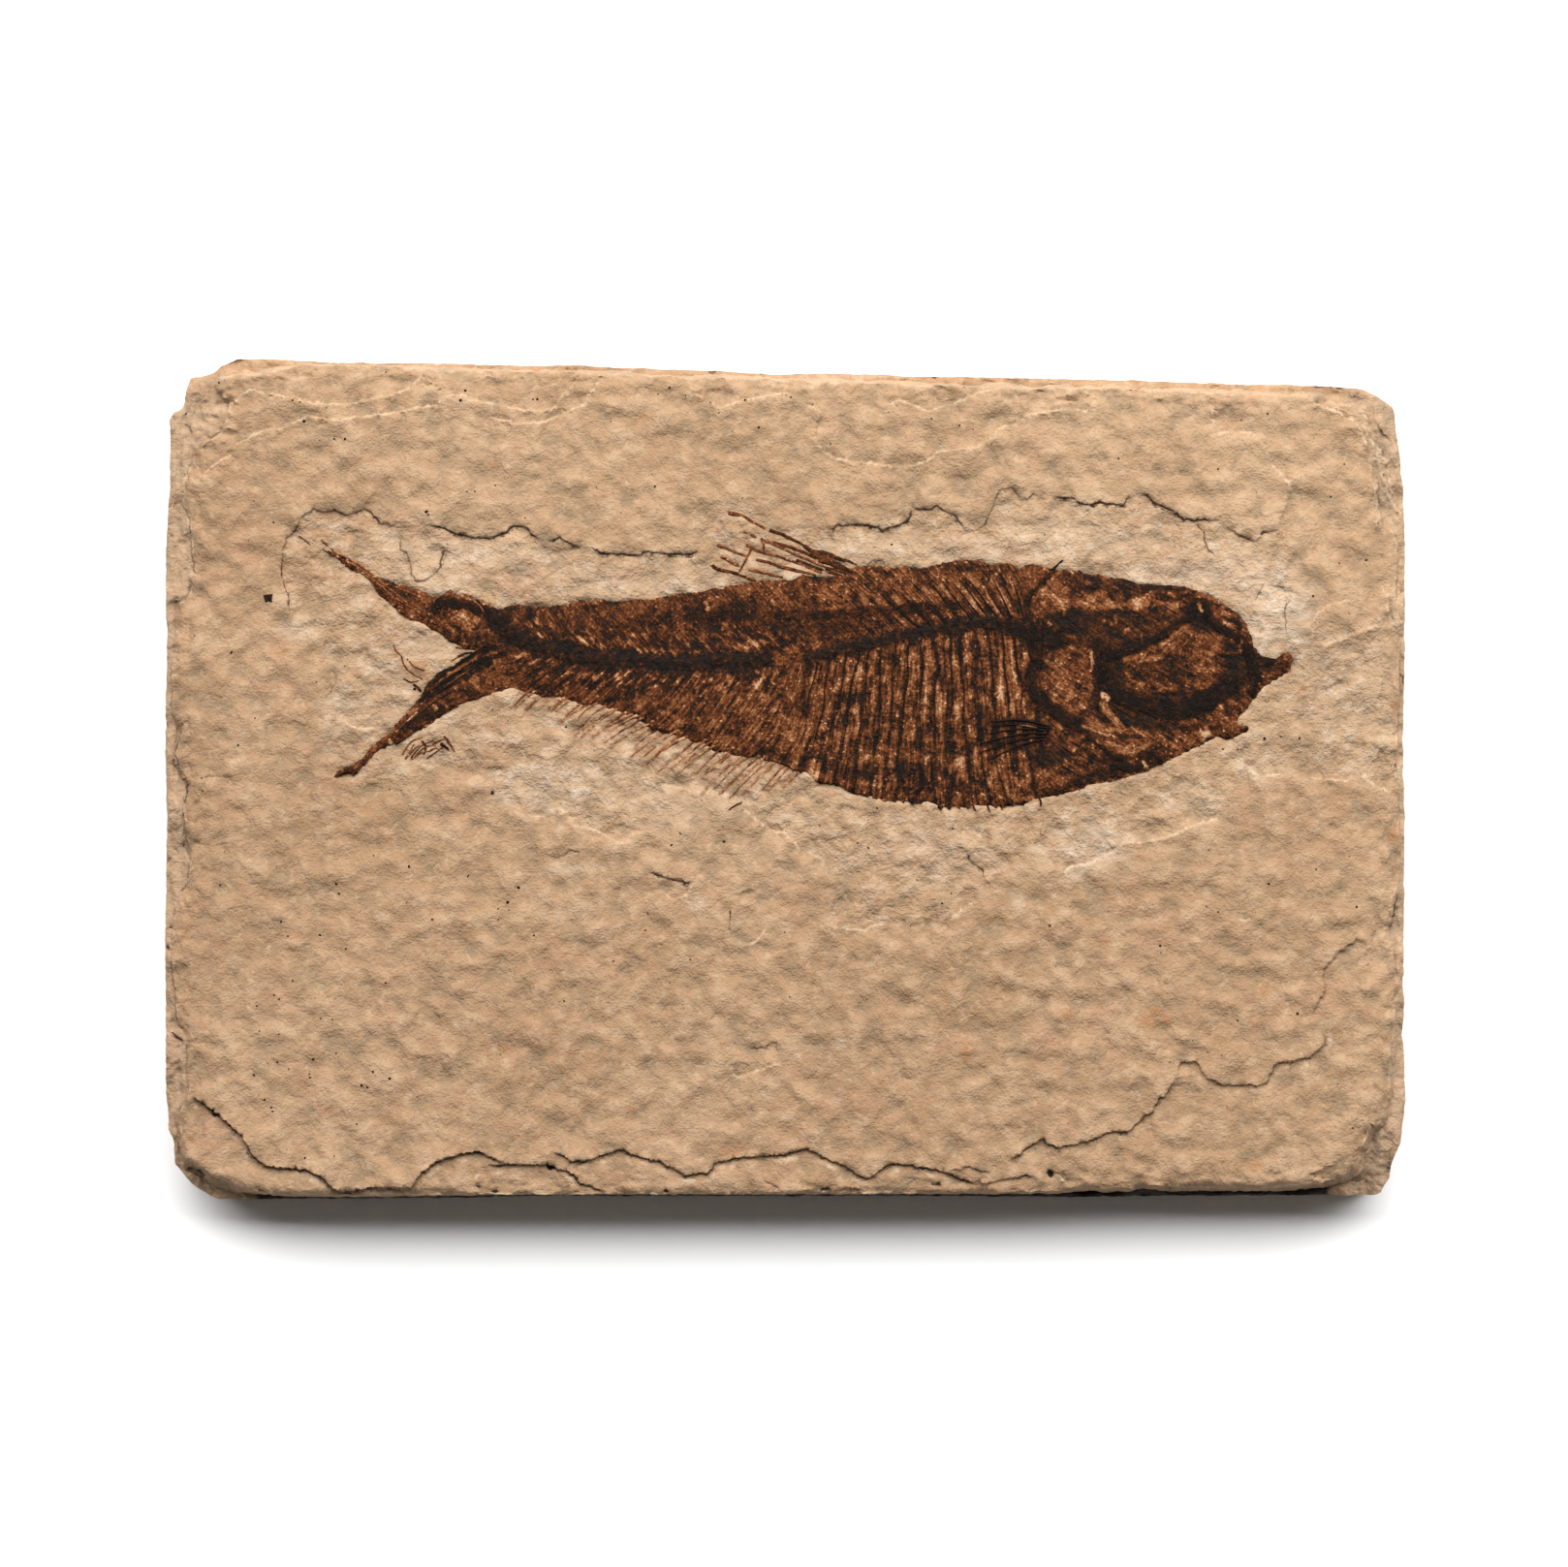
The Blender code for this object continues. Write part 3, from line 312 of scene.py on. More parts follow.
    (0.2, 8, 0.2, 0.8, [(188, 436), (195, 440), (197, 450)]),
    (0.2, 10, 0.14, 0.7, [(1420, 435), (1428, 448), (1438, 455)]),
    (0.2, 8, 0.14, 0.7, [(1441, 780), (1440, 795), (1444, 800)]),
    (-0.3, 10, 0, 0, [(1380, 1201), (1365, 1206), (1352, 1213), (1348, 1220)]),
    (0.2, 10, 0.2, 0.8, [(262, 1224), (272, 1230), (283, 1236)])]

# Pits and dents: centre, radii (pixels), depth and darkness, which paints shade into them: a grey shade
# up to 0.6, a near-black fill above it
PITS = [
    (1084, 1211, 4.5, 5, 0.9, 1.0), (508, 818, 2.5, 3, 0.25, 0.7), (1167, 402, 3, 3, 0.3, 0.8),
    (545, 785, 9, 4, 0.15, 0.35), (610, 808, 11, 5, 0.14, 0.3), (771, 942, 9, 6, 0.2, 0.25),
    (933, 1037, 18, 4, 0.14, 0.35), (964, 1026, 12, 5, 0.12, 0.35), (1063, 1061, 9, 3, 0.12, 0.35),
    (870, 1089, 12, 7, 0.12, 0.25), (905, 1103, 11, 3, 0.12, 0.3), (1375, 475, 16, 4, 0.14, 0.35),
    (279, 916, 8, 3, 0.12, 0.35), (306, 924, 7, 3, 0.12, 0.35), (304, 900, 8, 3, 0.1, 0.3),
    (540, 960, 20, 4, 0.14, 0.3), (510, 977, 11, 3, 0.12, 0.3), (645, 936, 8, 5, 0.12, 0.3),
    (1135, 1000, 17, 10, 0.12, 0.2), (1154, 1034, 10, 5, 0.12, 0.3), (1232, 1085, 18, 7, 0.14, 0.25),
    (1228, 805, 9, 5, 0.12, 0.3), (1236, 818, 8, 5, 0.12, 0.3), (1262, 792, 7, 3, 0.1, 0.3),
    (1350, 780, 14, 4, 0.12, 0.25), (1322, 806, 14, 5, 0.12, 0.25), (240, 1180, 10, 6, 0.2, 0.3),
    (550, 430, 22, 6, 0.12, 0.2), (1158, 470, 16, 4, 0.1, 0.2), (655, 492, 18, 6, 0.1, 0.2),
    (493, 1225, 5, 2.5, 0.3, 0.8), (510, 1230, 6, 2.5, 0.3, 0.8), (687, 1229, 5, 2.5, 0.3, 0.8),
    (849, 1227, 10, 2.5, 0.3, 0.8), (966, 1222, 7, 2.5, 0.3, 0.8), (568, 1205, 6, 3.5, 0.5, 0.9),
    (183, 1083, 4, 3, 0.3, 0.5), (183, 1107, 7, 8, 0.4, 0.45), (190, 873, 3, 3, 0.3, 0.7),
    (181, 946, 4, 6, 0.3, 0.5), (172, 888, 3, 3, 0.3, 0.7), (175, 957, 3, 3, 0.3, 0.8),
    (173, 978, 3, 4, 0.3, 0.8), (188, 470, 9, 28, 0.3, 0.25), (180, 538, 8, 8, 0.3, 0.3),
    (1442, 1024, 3, 7, 0.3, 0.55), (1418, 1031, 22, 4, 0.2, 0.45), (1399, 1213, 12, 9, 0.2, 0.55),
    (194, 1209, 10, 4, 0.3, 0.58), (228, 1222, 17, 7, 0.3, 0.5), (224, 1150, 8, 3.5, 0.3, 0.8)]

# Chalky patches left by the tools: centre, radii and strength
CHALK = [
    (1318, 632, 34, 40, 1.0), (1305, 668, 20, 12, 0.8), (1240, 592, 70, 12, 0.7), (1180, 594, 30, 8, 0.7),
    (1000, 572, 60, 6, 0.5), (300, 652, 14, 10, 0.8), (350, 725, 14, 8, 0.8), (339, 750, 6, 16, 0.7),
    (388, 686, 26, 6, 0.8), (565, 810, 50, 22, 0.7), (815, 592, 14, 7, 0.7), (717, 932, 9, 8, 0.9),
    (1130, 872, 32, 26, 0.8), (1110, 904, 12, 9, 0.8), (1050, 928, 7, 8, 0.7), (867, 1075, 6, 6, 0.9),
    (865, 1136, 5, 4, 0.8), (589, 896, 30, 6, 0.7), (1300, 792, 20, 12, 0.7), (450, 600, 40, 16, 0.4),
    (480, 570, 90, 12, 0.4), (650, 600, 80, 14, 0.35), (900, 566, 60, 12, 0.4), (1100, 556, 70, 20, 0.4),
    (1385, 720, 50, 60, 0.3), (960, 880, 60, 24, 0.3), (420, 740, 50, 40, 0.3), (700, 830, 60, 20, 0.3),
    (1225, 822, 30, 14, 0.4), (440, 660, 40, 20, 0.3), (1270, 575, 30, 14, 0.5)]

# Rusty stains: centre, radii and strength
RUST = [
    (1192, 1049, 13, 10, 0.8), (996, 1085, 6, 9, 0.7), (309, 967, 4, 3, 0.9), (339, 1146, 6, 4, 0.6),
    (397, 1152, 6, 4, 0.6), (326, 1131, 5, 4, 0.5), (479, 952, 4, 3, 0.7), (756, 1189, 10, 5, 0.7),
    (593, 1051, 5, 4, 0.6), (654, 1142, 5, 4, 0.6), (750, 857, 7, 5, 0.6), (1294, 1205, 8, 5, 0.5),
    (1170, 876, 10, 8, 0.6), (1312, 962, 6, 5, 0.5), (1138, 970, 7, 5, 0.4), (1100, 1048, 6, 5, 0.5),
    (1437, 860, 7, 10, 0.6), (1440, 730, 5, 6, 0.6), (1344, 710, 3, 2, 1.0), (946, 890, 5, 4, 0.6),
    (1304, 1023, 6, 5, 0.4), (510, 478, 6, 4, 0.4), (667, 428, 6, 5, 0.4), (1265, 487, 5, 4, 0.5),
    (522, 1080, 9, 4, 0.5), (1335, 752, 12, 5, 0.4), (430, 690, 14, 12, 0.5), (1323, 668, 6, 4, 0.6),
    (288, 668, 12, 12, 0.4), (1406, 1195, 7, 11, 0.6), (239, 1181, 10, 6, 0.5)]

# Dark mineral specks, listed where they are large, and how many small ones are strewn over the face
SPECKS = [
    (302, 413), (310, 415), (337, 421), (192, 427), (314, 435), (345, 453), (356, 453), (282, 539),
    (398, 384), (226, 395), (262, 517), (480, 403), (475, 413), (550, 412), (554, 412), (691, 400),
    (482, 507), (490, 507), (511, 501), (542, 535), (440, 528), (442, 531), (656, 591), (676, 502),
    (769, 413), (816, 410), (857, 458), (920, 562), (961, 432), (990, 439), (1004, 443), (766, 514),
    (783, 441), (1114, 437), (1154, 473), (1281, 433), (1257, 484), (1308, 427), (1387, 479), (1373, 513),
    (1410, 578), (1382, 581), (1355, 615), (1422, 540), (239, 673), (263, 741), (246, 769), (208, 803),
    (285, 868), (227, 913), (290, 951), (297, 966), (330, 965), (357, 979), (347, 912), (350, 922),
    (302, 1012), (283, 1027), (288, 1031), (265, 1038), (331, 1051), (343, 1052), (268, 1064),
    (288, 1067), (347, 1087), (323, 1093), (286, 1096), (298, 1103), (319, 1108), (320, 1112),
    (262, 1109), (385, 1106), (402, 1113), (373, 1120), (379, 1122), (273, 1135), (280, 1143),
    (281, 1147), (345, 1193), (315, 1195), (368, 1160), (422, 894), (420, 931), (446, 949), (398, 1014),
    (483, 904), (535, 916), (524, 931), (525, 939), (514, 938), (514, 949), (551, 965), (668, 943),
    (666, 960), (633, 992), (582, 1033), (712, 990), (693, 872), (702, 860), (584, 750), (508, 732),
    (724, 826), (747, 868), (885, 870), (896, 875), (846, 852), (983, 855), (905, 834), (946, 908),
    (982, 922), (972, 932), (1257, 941), (1309, 912), (1358, 897), (1392, 884), (1400, 936), (1197, 976),
    (1083, 955), (1277, 1053), (1339, 1046), (1396, 1164), (1262, 773), (1277, 773), (1305, 762),
    (1322, 760), (1341, 762)]
SMALL_SPECKS = 520
SPECK_RADIUS = 1.5
SMALL_SPECK_RADIUS = 0.6
SCALE_CHIP = [(272, 614), (281, 613), (281, 621), (273, 621)]

# Edge of the fish, clockwise from the tip of the tail's upper lobe
FISH_OUTLINE = [
    (333, 566), (354, 574), (380, 588), (384, 592), (403, 600), (419, 604), (434, 610), (449, 616),
    (458, 613), (464, 606), (468, 612), (480, 614), (491, 618), (503, 623), (513, 629), (530, 624),
    (543, 625), (568, 626), (582, 624), (600, 620), (627, 620), (668, 618), (690, 615), (702, 612),
    (725, 610), (758, 604), (775, 601), (800, 599), (822, 597), (828, 592), (842, 594), (865, 595),
    (875, 592), (884, 584), (897, 584), (922, 585), (951, 585), (970, 582), (986, 578.5), (1009, 578),
    (1020, 581), (1047, 583), (1053, 588), (1058, 583), (1065, 582), (1086, 588), (1100, 587),
    (1113, 590), (1136, 594), (1162, 597), (1174, 601), (1205, 604), (1223, 606), (1241, 611),
    (1251, 615.5), (1262, 623), (1277, 633), (1287, 646), (1292, 659), (1296, 671), (1302, 677),
    (1314, 680), (1323, 674), (1331, 674), (1335, 680), (1331, 690), (1321, 699), (1308, 707),
    (1296, 719), (1289, 728), (1279, 740), (1276, 744), (1279, 747), (1289, 748), (1290, 753),
    (1281, 760), (1268, 762), (1254, 760), (1243, 767), (1224, 776), (1203, 786), (1182, 795),
    (1162, 802), (1139, 807), (1120, 813), (1097, 819), (1078, 823), (1070, 825), (1058, 829),
    (1028, 832), (999, 832), (970, 832), (947, 828), (932, 826), (905, 824), (884, 820), (867, 811),
    (856, 808), (844, 808), (833, 799), (808, 790), (785, 782), (760, 780), (748, 776), (734, 775),
    (725, 767), (704, 762), (681, 755), (673, 753), (662, 746), (643, 738), (633, 733), (618, 728),
    (599, 726), (576, 720), (541, 716), (528, 710), (499, 719), (491, 721), (472, 728), (453, 740),
    (442, 750), (422, 757), (410, 765), (403, 769), (390, 776), (376, 788), (366, 800), (359, 797),
    (342, 806), (340, 803), (355, 792), (363, 790), (376, 780), (386, 767), (396, 761), (403, 755),
    (413, 742), (424, 730), (434, 719), (443, 702), (453, 694), (472, 683), (491, 671), (482, 670),
    (468, 662), (459, 658), (442, 646), (422, 639), (409, 629), (392, 614), (376, 593), (361, 587),
    (348, 577)]

# Line of the backbone, and the lean of the bones beside it towards the tail, for each pixel of way
BACKBONE = [
    (509, 637), (528, 656), (547, 664), (576, 673), (604, 679), (652, 682), (710, 686), (757, 681),
    (789, 682), (836, 679), (865, 671), (923, 658), (980, 647), (1037, 642), (1075, 650), (1098, 658)]
LEAN_STATIONS = [540, 600, 660, 720, 780, 840, 900, 960, 1020, 1060]
BACK_LEAN = [0.9, 0.9, 0.9, 0.9, 0.9, 0.9, 0.8, 0.75, 0.6, 0.5]
BELLY_LEAN = [1.0, 0.95, 0.9, 0.7, 0.5, 0.22, 0.1, 0.02, -0.08, -0.14]

# Ribs: their lengths at stations along the backbone; spines above it: root and tip
RIB_STATIONS = [846, 900, 960, 1020, 1062]
RIB_LENGTH = [96, 118, 132, 136, 96]
SPINES = [
    ((1011, 636), (984, 602)), ((1028, 635), (1000, 598)), ((1043, 636), (1024, 596)),
    ((1056, 636), (1043, 594)), ((990, 640), (963, 604)), ((976, 642), (948, 616)),
    ((960, 645), (930, 612)), ((948, 647), (908, 612)), ((1019, 636), (992, 600)),
    ((1002, 638), (974, 603)), ((1036, 636), (1012, 598))]

# Broad patches of the skin film: centre, radii (pixels), tilt (degrees), tone and strength. Tone runs
# from 0, black bone, over 0.5, red-brown film, to 1, pale rock
PATCHES = [
    (650, 640, 150, 16, 0, 0.29, 0.6), (650, 660, 150, 10, 0, 0.32, 0.5),
    (640, 705, 120, 16, 8, 0.35, 0.6), (760, 740, 70, 34, 25, 0.42, 0.7),
    (860, 745, 60, 60, 0, 0.46, 0.8), (830, 618, 90, 14, 4, 0.42, 0.7),
    (960, 606, 110, 14, -2, 0.44, 0.8), (880, 640, 110, 12, -6, 0.2, 0.8),
    (740, 632, 70, 10, -3, 0.2, 0.7), (812, 688, 22, 14, 0, 0.42, 0.7), (880, 690, 50, 16, -6, 0.36, 0.6),
    (970, 720, 90, 70, 0, 0.4, 0.8), (1045, 700, 16, 40, 0, 0.55, 0.7), (960, 812, 120, 12, 0, 0.38, 0.8),
    (880, 720, 40, 6, 0, 0.2, 0.7), (880, 742, 45, 6, 0, 0.2, 0.6), (930, 760, 34, 10, 0, 0.18, 0.7),
    (850, 790, 60, 7, 14, 0.16, 0.7), (930, 795, 50, 8, 4, 0.16, 0.6), (560, 645, 40, 12, 0, 0.36, 0.6),
    (580, 705, 60, 12, 6, 0.28, 0.6), (430, 628, 34, 12, -28, 0.46, 0.8),
    (380, 592, 42, 10, -33, 0.68, 0.95), (480, 644, 14, 12, 0, 0.52, 0.9),
    (455, 720, 40, 12, 38, 0.3, 0.8), (400, 765, 34, 9, 38, 0.36, 0.8), (500, 700, 36, 12, 22, 0.42, 0.8),
    (1070, 600, 20, 18, 0, 0.44, 0.8), (1092, 615, 16, 20, 0, 0.52, 0.8),
    (1112, 614, 9, 22, 0, 0.12, 0.9), (1134, 622, 24, 13, 0, 0.6, 0.9), (1158, 608, 18, 12, 0, 0.24, 0.8),
    (1173, 623, 14, 6, -8, 0.68, 0.9), (1205, 624, 16, 6, 0, 0.54, 0.7), (1098, 592, 14, 7, 0, 0.42, 0.7),
    (1125, 597, 12, 5, 0, 0.46, 0.6), (1180, 606, 34, 6, 6, 0.18, 0.8), (1240, 613, 14, 5, 12, 0.55, 0.8),
    (1105, 642, 28, 12, 0, 0.06, 0.9), (1150, 640, 34, 10, 0, 0.1, 0.8), (1145, 662, 34, 16, 0, 0.1, 0.8),
    (1195, 645, 30, 14, -20, 0.22, 0.7), (1107, 700, 24, 36, 0, 0.37, 0.95),
    (1096, 716, 9, 12, 0, 0.54, 0.8), (1115, 726, 8, 6, 0, 0.54, 0.8), (1115, 683, 9, 9, 0, 0.34, 0.6),
    (1075, 660, 22, 14, 0, 0.05, 0.9), (1170, 735, 44, 20, 6, 0.07, 0.95),
    (1146, 700, 15, 26, 0, 0.06, 0.95), (1225, 725, 38, 16, -8, 0.08, 0.95),
    (1272, 690, 20, 30, 8, 0.09, 0.95), (1200, 690, 24, 16, 0, 0.18, 0.8),
    (1237, 634, 14, 16, 0, 0.06, 0.95), (1245, 682, 18, 26, 0, 0.42, 0.95),
    (1244, 687, 12, 7, 0, 0.58, 0.8), (1240, 704, 18, 6, 0, 0.52, 0.7), (1240, 660, 14, 8, 0, 0.46, 0.7),
    (1256, 630, 8, 5, 30, 0.55, 0.8), (1276, 652, 13, 12, 45, 0.48, 0.8),
    (1304, 688, 10, 8, 0, 0.07, 0.9), (1323, 686, 11, 11, 0, 0.38, 0.9),
    (1300, 705, 16, 7, -40, 0.34, 0.8), (1268, 733, 20, 9, -25, 0.4, 0.9),
    (1274, 752, 15, 8, 0, 0.42, 0.9), (1228, 764, 34, 7, -22, 0.58, 0.9),
    (1180, 764, 26, 12, 0, 0.46, 0.9), (1118, 772, 24, 9, 8, 0.34, 0.8),
    (1112, 792, 26, 9, -6, 0.28, 0.8), (1082, 778, 22, 12, 0, 0.09, 0.9),
    (1140, 800, 40, 7, -14, 0.09, 0.9), (1150, 784, 16, 8, 0, 0.08, 0.9),
    (1196, 776, 14, 7, -20, 0.2, 0.7), (1150, 806, 44, 3, -16, 0.55, 0.9),
    (1042, 758, 36, 17, 0, 0.08, 0.92), (990, 772, 20, 7, 0, 0.14, 0.8),
    (1053, 800, 12, 14, 0, 0.56, 0.7), (1092, 806, 10, 6, 0, 0.5, 0.7), (1060, 678, 4, 12, 0, 0.58, 0.7)]

# Bones and marks: half width (pixels), rise, tone, strength and points
BONES = [
    (4.5, 0.16, 0.05, 1.0, [(449, 627), (456, 622), (464, 623), (483, 624), (493, 628)]),
    (3.5, 0.12, 0.07, 0.9, [(490, 620), (503, 628), (513, 637), (522, 651), (534, 664)]),
    (1.3, 0.12, 0.74, 0.9, [(476, 614), (492, 620), (505, 625), (514, 633)]),
    (1.2, 0.12, 0.8, 0.9, [(464, 640), (474, 634), (480, 636), (489, 642)]),
    (1.0, 0.08, 0.66, 0.9, [(462, 643), (465, 649), (471, 655)]),
    (1.2, 0.08, 0.14, 0.9, [(470, 646), (476, 650), (484, 651), (493, 647)]),
    (1.0, 0.08, 0.18, 0.8, [(478, 640), (488, 644), (497, 650)]),
    (3.2, 0.1, 0.26, 0.8, [(388, 593), (398, 598), (406, 602)]),
    (1.4, 0.04, 0.95, 0.9, [(374, 592), (378, 590)]),
    (2.6, 0.16, 0.04, 1.0, [(444, 705), (464, 690), (480, 681), (494, 673), (509, 666)]),
    (2.8, 0.16, 0.04, 1.0, [(450, 711), (472, 697), (486, 688), (498, 681), (520, 673)]),
    (2.8, 0.14, 0.05, 1.0, [(438, 722), (453, 712), (476, 701), (492, 690), (506, 682)]),
    (0.9, 0.22, 0.66, 0.9, [(453, 703), (466, 694), (476, 688), (492, 677)]),
    (0.9, 0.2, 0.6, 0.9, [(460, 708), (472, 700), (485, 692)]),
    (0.8, 0.2, 0.62, 0.9, [(472, 692), (485, 684), (494, 679)]),
    (5.0, 0.1, 0.13, 0.9, [(409, 756), (431, 742), (455, 733)]),
    (2.0, 0.02, 0.98, 1.0, [(405, 757), (416, 745), (428, 734)]),
    (1.6, 0.02, 0.98, 1.0, [(446, 726), (450, 731)]),
    (1.8, 0.1, 0.44, 0.9, [(400, 758), (413, 744), (428, 729)]),
    (2.2, 0.1, 0.1, 0.8, [(430, 722), (440, 716), (448, 712)]),
    (9, 0.1, 0.05, 0.9, [(1040, 646), (1066, 652), (1092, 660)]),
    (4, 0.08, 0.14, 0.7, [(716, 634), (790, 636), (860, 634), (930, 628), (990, 628)]),
    (6, 0.22, 0.05, 1.0, [(1069, 655), (1069, 682), (1062, 702), (1070, 718), (1086, 733), (1102, 744),
        (1118, 750)]),
    (2, 0.2, 0.16, 0.8, [(1072, 700), (1078, 716), (1092, 732), (1104, 740)]),
    (9, 0.26, 0.05, 1.0, [(1134, 670), (1139, 698), (1152, 714), (1174, 724), (1206, 732), (1230, 728),
        (1252, 718), (1268, 706)]),
    (2, 0.3, 0.18, 0.7, [(1146, 682), (1152, 700), (1164, 712), (1190, 720), (1220, 722)]),
    (4.5, 0.3, 0.04, 1.0, [(1244, 630), (1252, 642), (1262, 650), (1275, 655), (1285, 666), (1291, 682),
        (1294, 700), (1292, 714)]),
    (3.5, 0.26, 0.05, 1.0, [(1230, 635), (1213, 645), (1200, 655), (1186, 663), (1160, 674),
        (1146, 678)]),
    (2, 0.14, 0.16, 0.8, [(1232, 652), (1222, 662), (1214, 674), (1214, 690), (1222, 702)]),
    (3, 0.16, 0.62, 0.9, [(1226, 646), (1212, 656), (1200, 666)]),
    (3, 0.16, 0.52, 0.9, [(1232, 654), (1225, 664), (1221, 674)]),
    (3, 0.14, 0.62, 0.9, [(1213, 666), (1204, 671), (1196, 677), (1180, 680)]),
    (2, 0.18, 0.88, 1.0, [(1236, 620), (1239, 626), (1240, 631)]),
    (2, 0.14, 0.04, 0.9, [(1266, 640), (1273, 640), (1280, 647)]),
    (1.4, 0.16, 0.8, 0.8, [(1263, 643), (1270, 645), (1276, 651)]),
    (1.3, 0.18, 0.62, 0.7, [(1283, 661), (1278, 668), (1281, 672), (1272, 675), (1266, 674)]),
    (1.6, 0.12, 0.05, 0.8, [(1116, 607), (1130, 605), (1142, 607)]),
    (1.6, 0.12, 0.08, 0.8, [(1142, 606), (1146, 615), (1150, 622)]),
    (1.4, 0.12, 0.8, 0.7, [(1145, 619), (1148, 622), (1151, 622)]),
    (2.4, 0.16, 0.08, 0.9, [(1180, 608), (1210, 609), (1232, 612)]),
    (2.4, 0.14, 0.07, 0.9, [(1196, 617), (1226, 616), (1238, 620)]),
    (1.8, 0.12, 0.46, 0.8, [(1184, 611), (1205, 611), (1228, 611)]),
    (1.5, 0.12, 0.7, 0.7, [(1206, 613), (1212, 617)]),
    (1.6, 0.16, 0.82, 0.9, [(1125, 672), (1128, 680), (1128, 686), (1126, 692)]),
    (2.2, 0.14, 0.12, 0.9, [(1128, 692), (1131, 706), (1134, 720), (1136, 734)]),
    (1.0, 0.06, 0.3, 0.6, [(1101, 705), (1113, 707), (1124, 712)]),
    (1.0, 0.06, 0.3, 0.6, [(1101, 711), (1110, 715), (1121, 721)]),
    (1.0, 0.06, 0.32, 0.6, [(1102, 715), (1108, 722), (1114, 730)]),
    (3.2, 0.2, 0.97, 1.0, [(1138, 718), (1142, 721)]),
    (3.5, 0.16, 0.62, 0.95, [(1138, 728), (1144, 737), (1152, 745), (1160, 752)]),
    (4, 0.2, 0.56, 0.95, [(1119, 748), (1130, 750), (1140, 754), (1150, 759)]),
    (1.2, 0.24, 0.78, 0.8, [(1119, 750), (1130, 754), (1139, 758), (1152, 761)]),
    (1.6, 0.22, 0.74, 0.9, [(1146, 753), (1158, 754), (1168, 752), (1177, 757), (1181, 765)]),
    (2.0, 0.06, 0.08, 0.8, [(1150, 758), (1162, 760), (1176, 760)]),
    (3.0, 0.14, 0.52, 0.9, [(1152, 770), (1162, 776), (1176, 772), (1186, 768)]),
    (2.6, 0.22, 0.05, 1.0, [(1118, 754), (1130, 764), (1144, 777), (1156, 785)]),
    (2.2, 0.16, 0.34, 0.8, [(1128, 760), (1140, 769), (1152, 778)]),
    (1.4, 0.14, 0.72, 0.8, [(1143, 763), (1151, 769)]),
    (2.4, 0.2, 0.05, 0.9, [(1176, 778), (1190, 776), (1196, 783)]),
    (4, 0.16, 0.05, 0.9, [(1150, 790), (1170, 792), (1184, 784)]),
    (2.0, 0.22, 0.98, 1.0, [(1180, 787), (1184, 791)]),
    (2.2, 0.18, 0.9, 0.9, [(1240, 757), (1242, 762), (1247, 759)]),
    (1.8, 0.18, 0.86, 0.9, [(1214, 763), (1219, 761)]), (1.8, 0.18, 0.8, 0.8, [(1209, 767), (1214, 773)]),
    (1.4, 0.14, 0.2, 0.8, [(1206, 769), (1211, 775)]), (2.4, 0.12, 0.08, 0.8, [(1222, 751), (1234, 749)]),
    (3.0, 0.12, 0.07, 0.9, [(1250, 752), (1258, 750)]), (1.4, 0.14, 0.8, 0.8, [(1260, 729), (1263, 732)]),
    (1.4, 0.14, 0.86, 0.8, [(1265, 741), (1267, 744)]),
    (2.6, 0.14, 0.08, 0.9, [(1316, 676), (1322, 677)]),
    (2.6, 0.12, 0.14, 0.8, [(1320, 688), (1326, 687)]),
    (3.2, 0.2, 0.06, 0.9, [(1296, 682), (1306, 684), (1313, 682)]),
    (3.2, 0.16, 0.07, 0.9, [(1064, 612), (1060, 625), (1064, 640)]),
    (2.2, 0.16, 0.1, 0.9, [(1097, 579), (1088, 588), (1076, 600), (1067, 612)]),
    (1.2, 0.14, 0.62, 0.7, [(1096, 589), (1088, 597), (1080, 606)]),
    (1.6, 0.14, 0.72, 0.7, [(1097, 628), (1098, 634)]), (2.2, 0.12, 0.6, 0.8, [(1140, 641), (1146, 644)]),
    (1.8, 0.12, 0.6, 0.8, [(1151, 636), (1151, 642)]), (2.0, 0.12, 0.56, 0.8, [(1165, 650), (1160, 655)]),
    (2.6, 0.12, 0.62, 0.8, [(1083, 644), (1088, 650)]),
    (2.4, 0.1, 0.5, 0.8, [(1092, 655), (1106, 656), (1113, 664)]),
    (1.6, 0.1, 0.9, 0.9, [(727, 621), (730, 628)]), (1.6, 0.1, 0.9, 0.9, [(797, 621), (799, 624)]),
    (1.4, 0.1, 0.85, 0.9, [(896, 682), (898, 684)]), (1.2, 0.1, 0.85, 0.9, [(902, 637), (903, 638)]),
    (3.5, 0.08, 0.16, 0.8, [(831, 684), (832, 710), (830, 736)]),
    (4.0, 0.14, 0.08, 0.9, [(936, 816), (945, 813), (953, 808)]),
    (1.2, 0.14, 0.62, 0.7, [(940, 817), (948, 812)]),
    (3.4, 0.16, 0.1, 0.9, [(453, 622), (458, 618), (470, 620), (491, 625)]),
    (3.0, 0.12, 0.12, 0.8, [(506, 628), (516, 640), (530, 656)]),
    (1.2, 0.12, 0.75, 0.8, [(472, 634), (480, 640), (488, 646)]),
    (1.2, 0.12, 0.7, 0.7, [(474, 641), (480, 648), (486, 652)]),
    (2.0, 0.12, 0.18, 0.8, [(458, 628), (466, 642), (480, 656)]),
    (2.6, 0.14, 0.4, 0.7, [(378, 592), (396, 604), (410, 606)]),
    (1.6, 0.1, 0.9, 0.9, [(377, 589), (381, 594)]),
    (2.4, 0.12, 0.12, 0.8, [(384, 786), (392, 776), (402, 768)]),
    (1.6, 0.12, 0.9, 0.9, [(402, 764), (405, 769)]),
    (2.4, 0.14, 0.14, 0.8, [(343, 804), (352, 799), (362, 793)])]

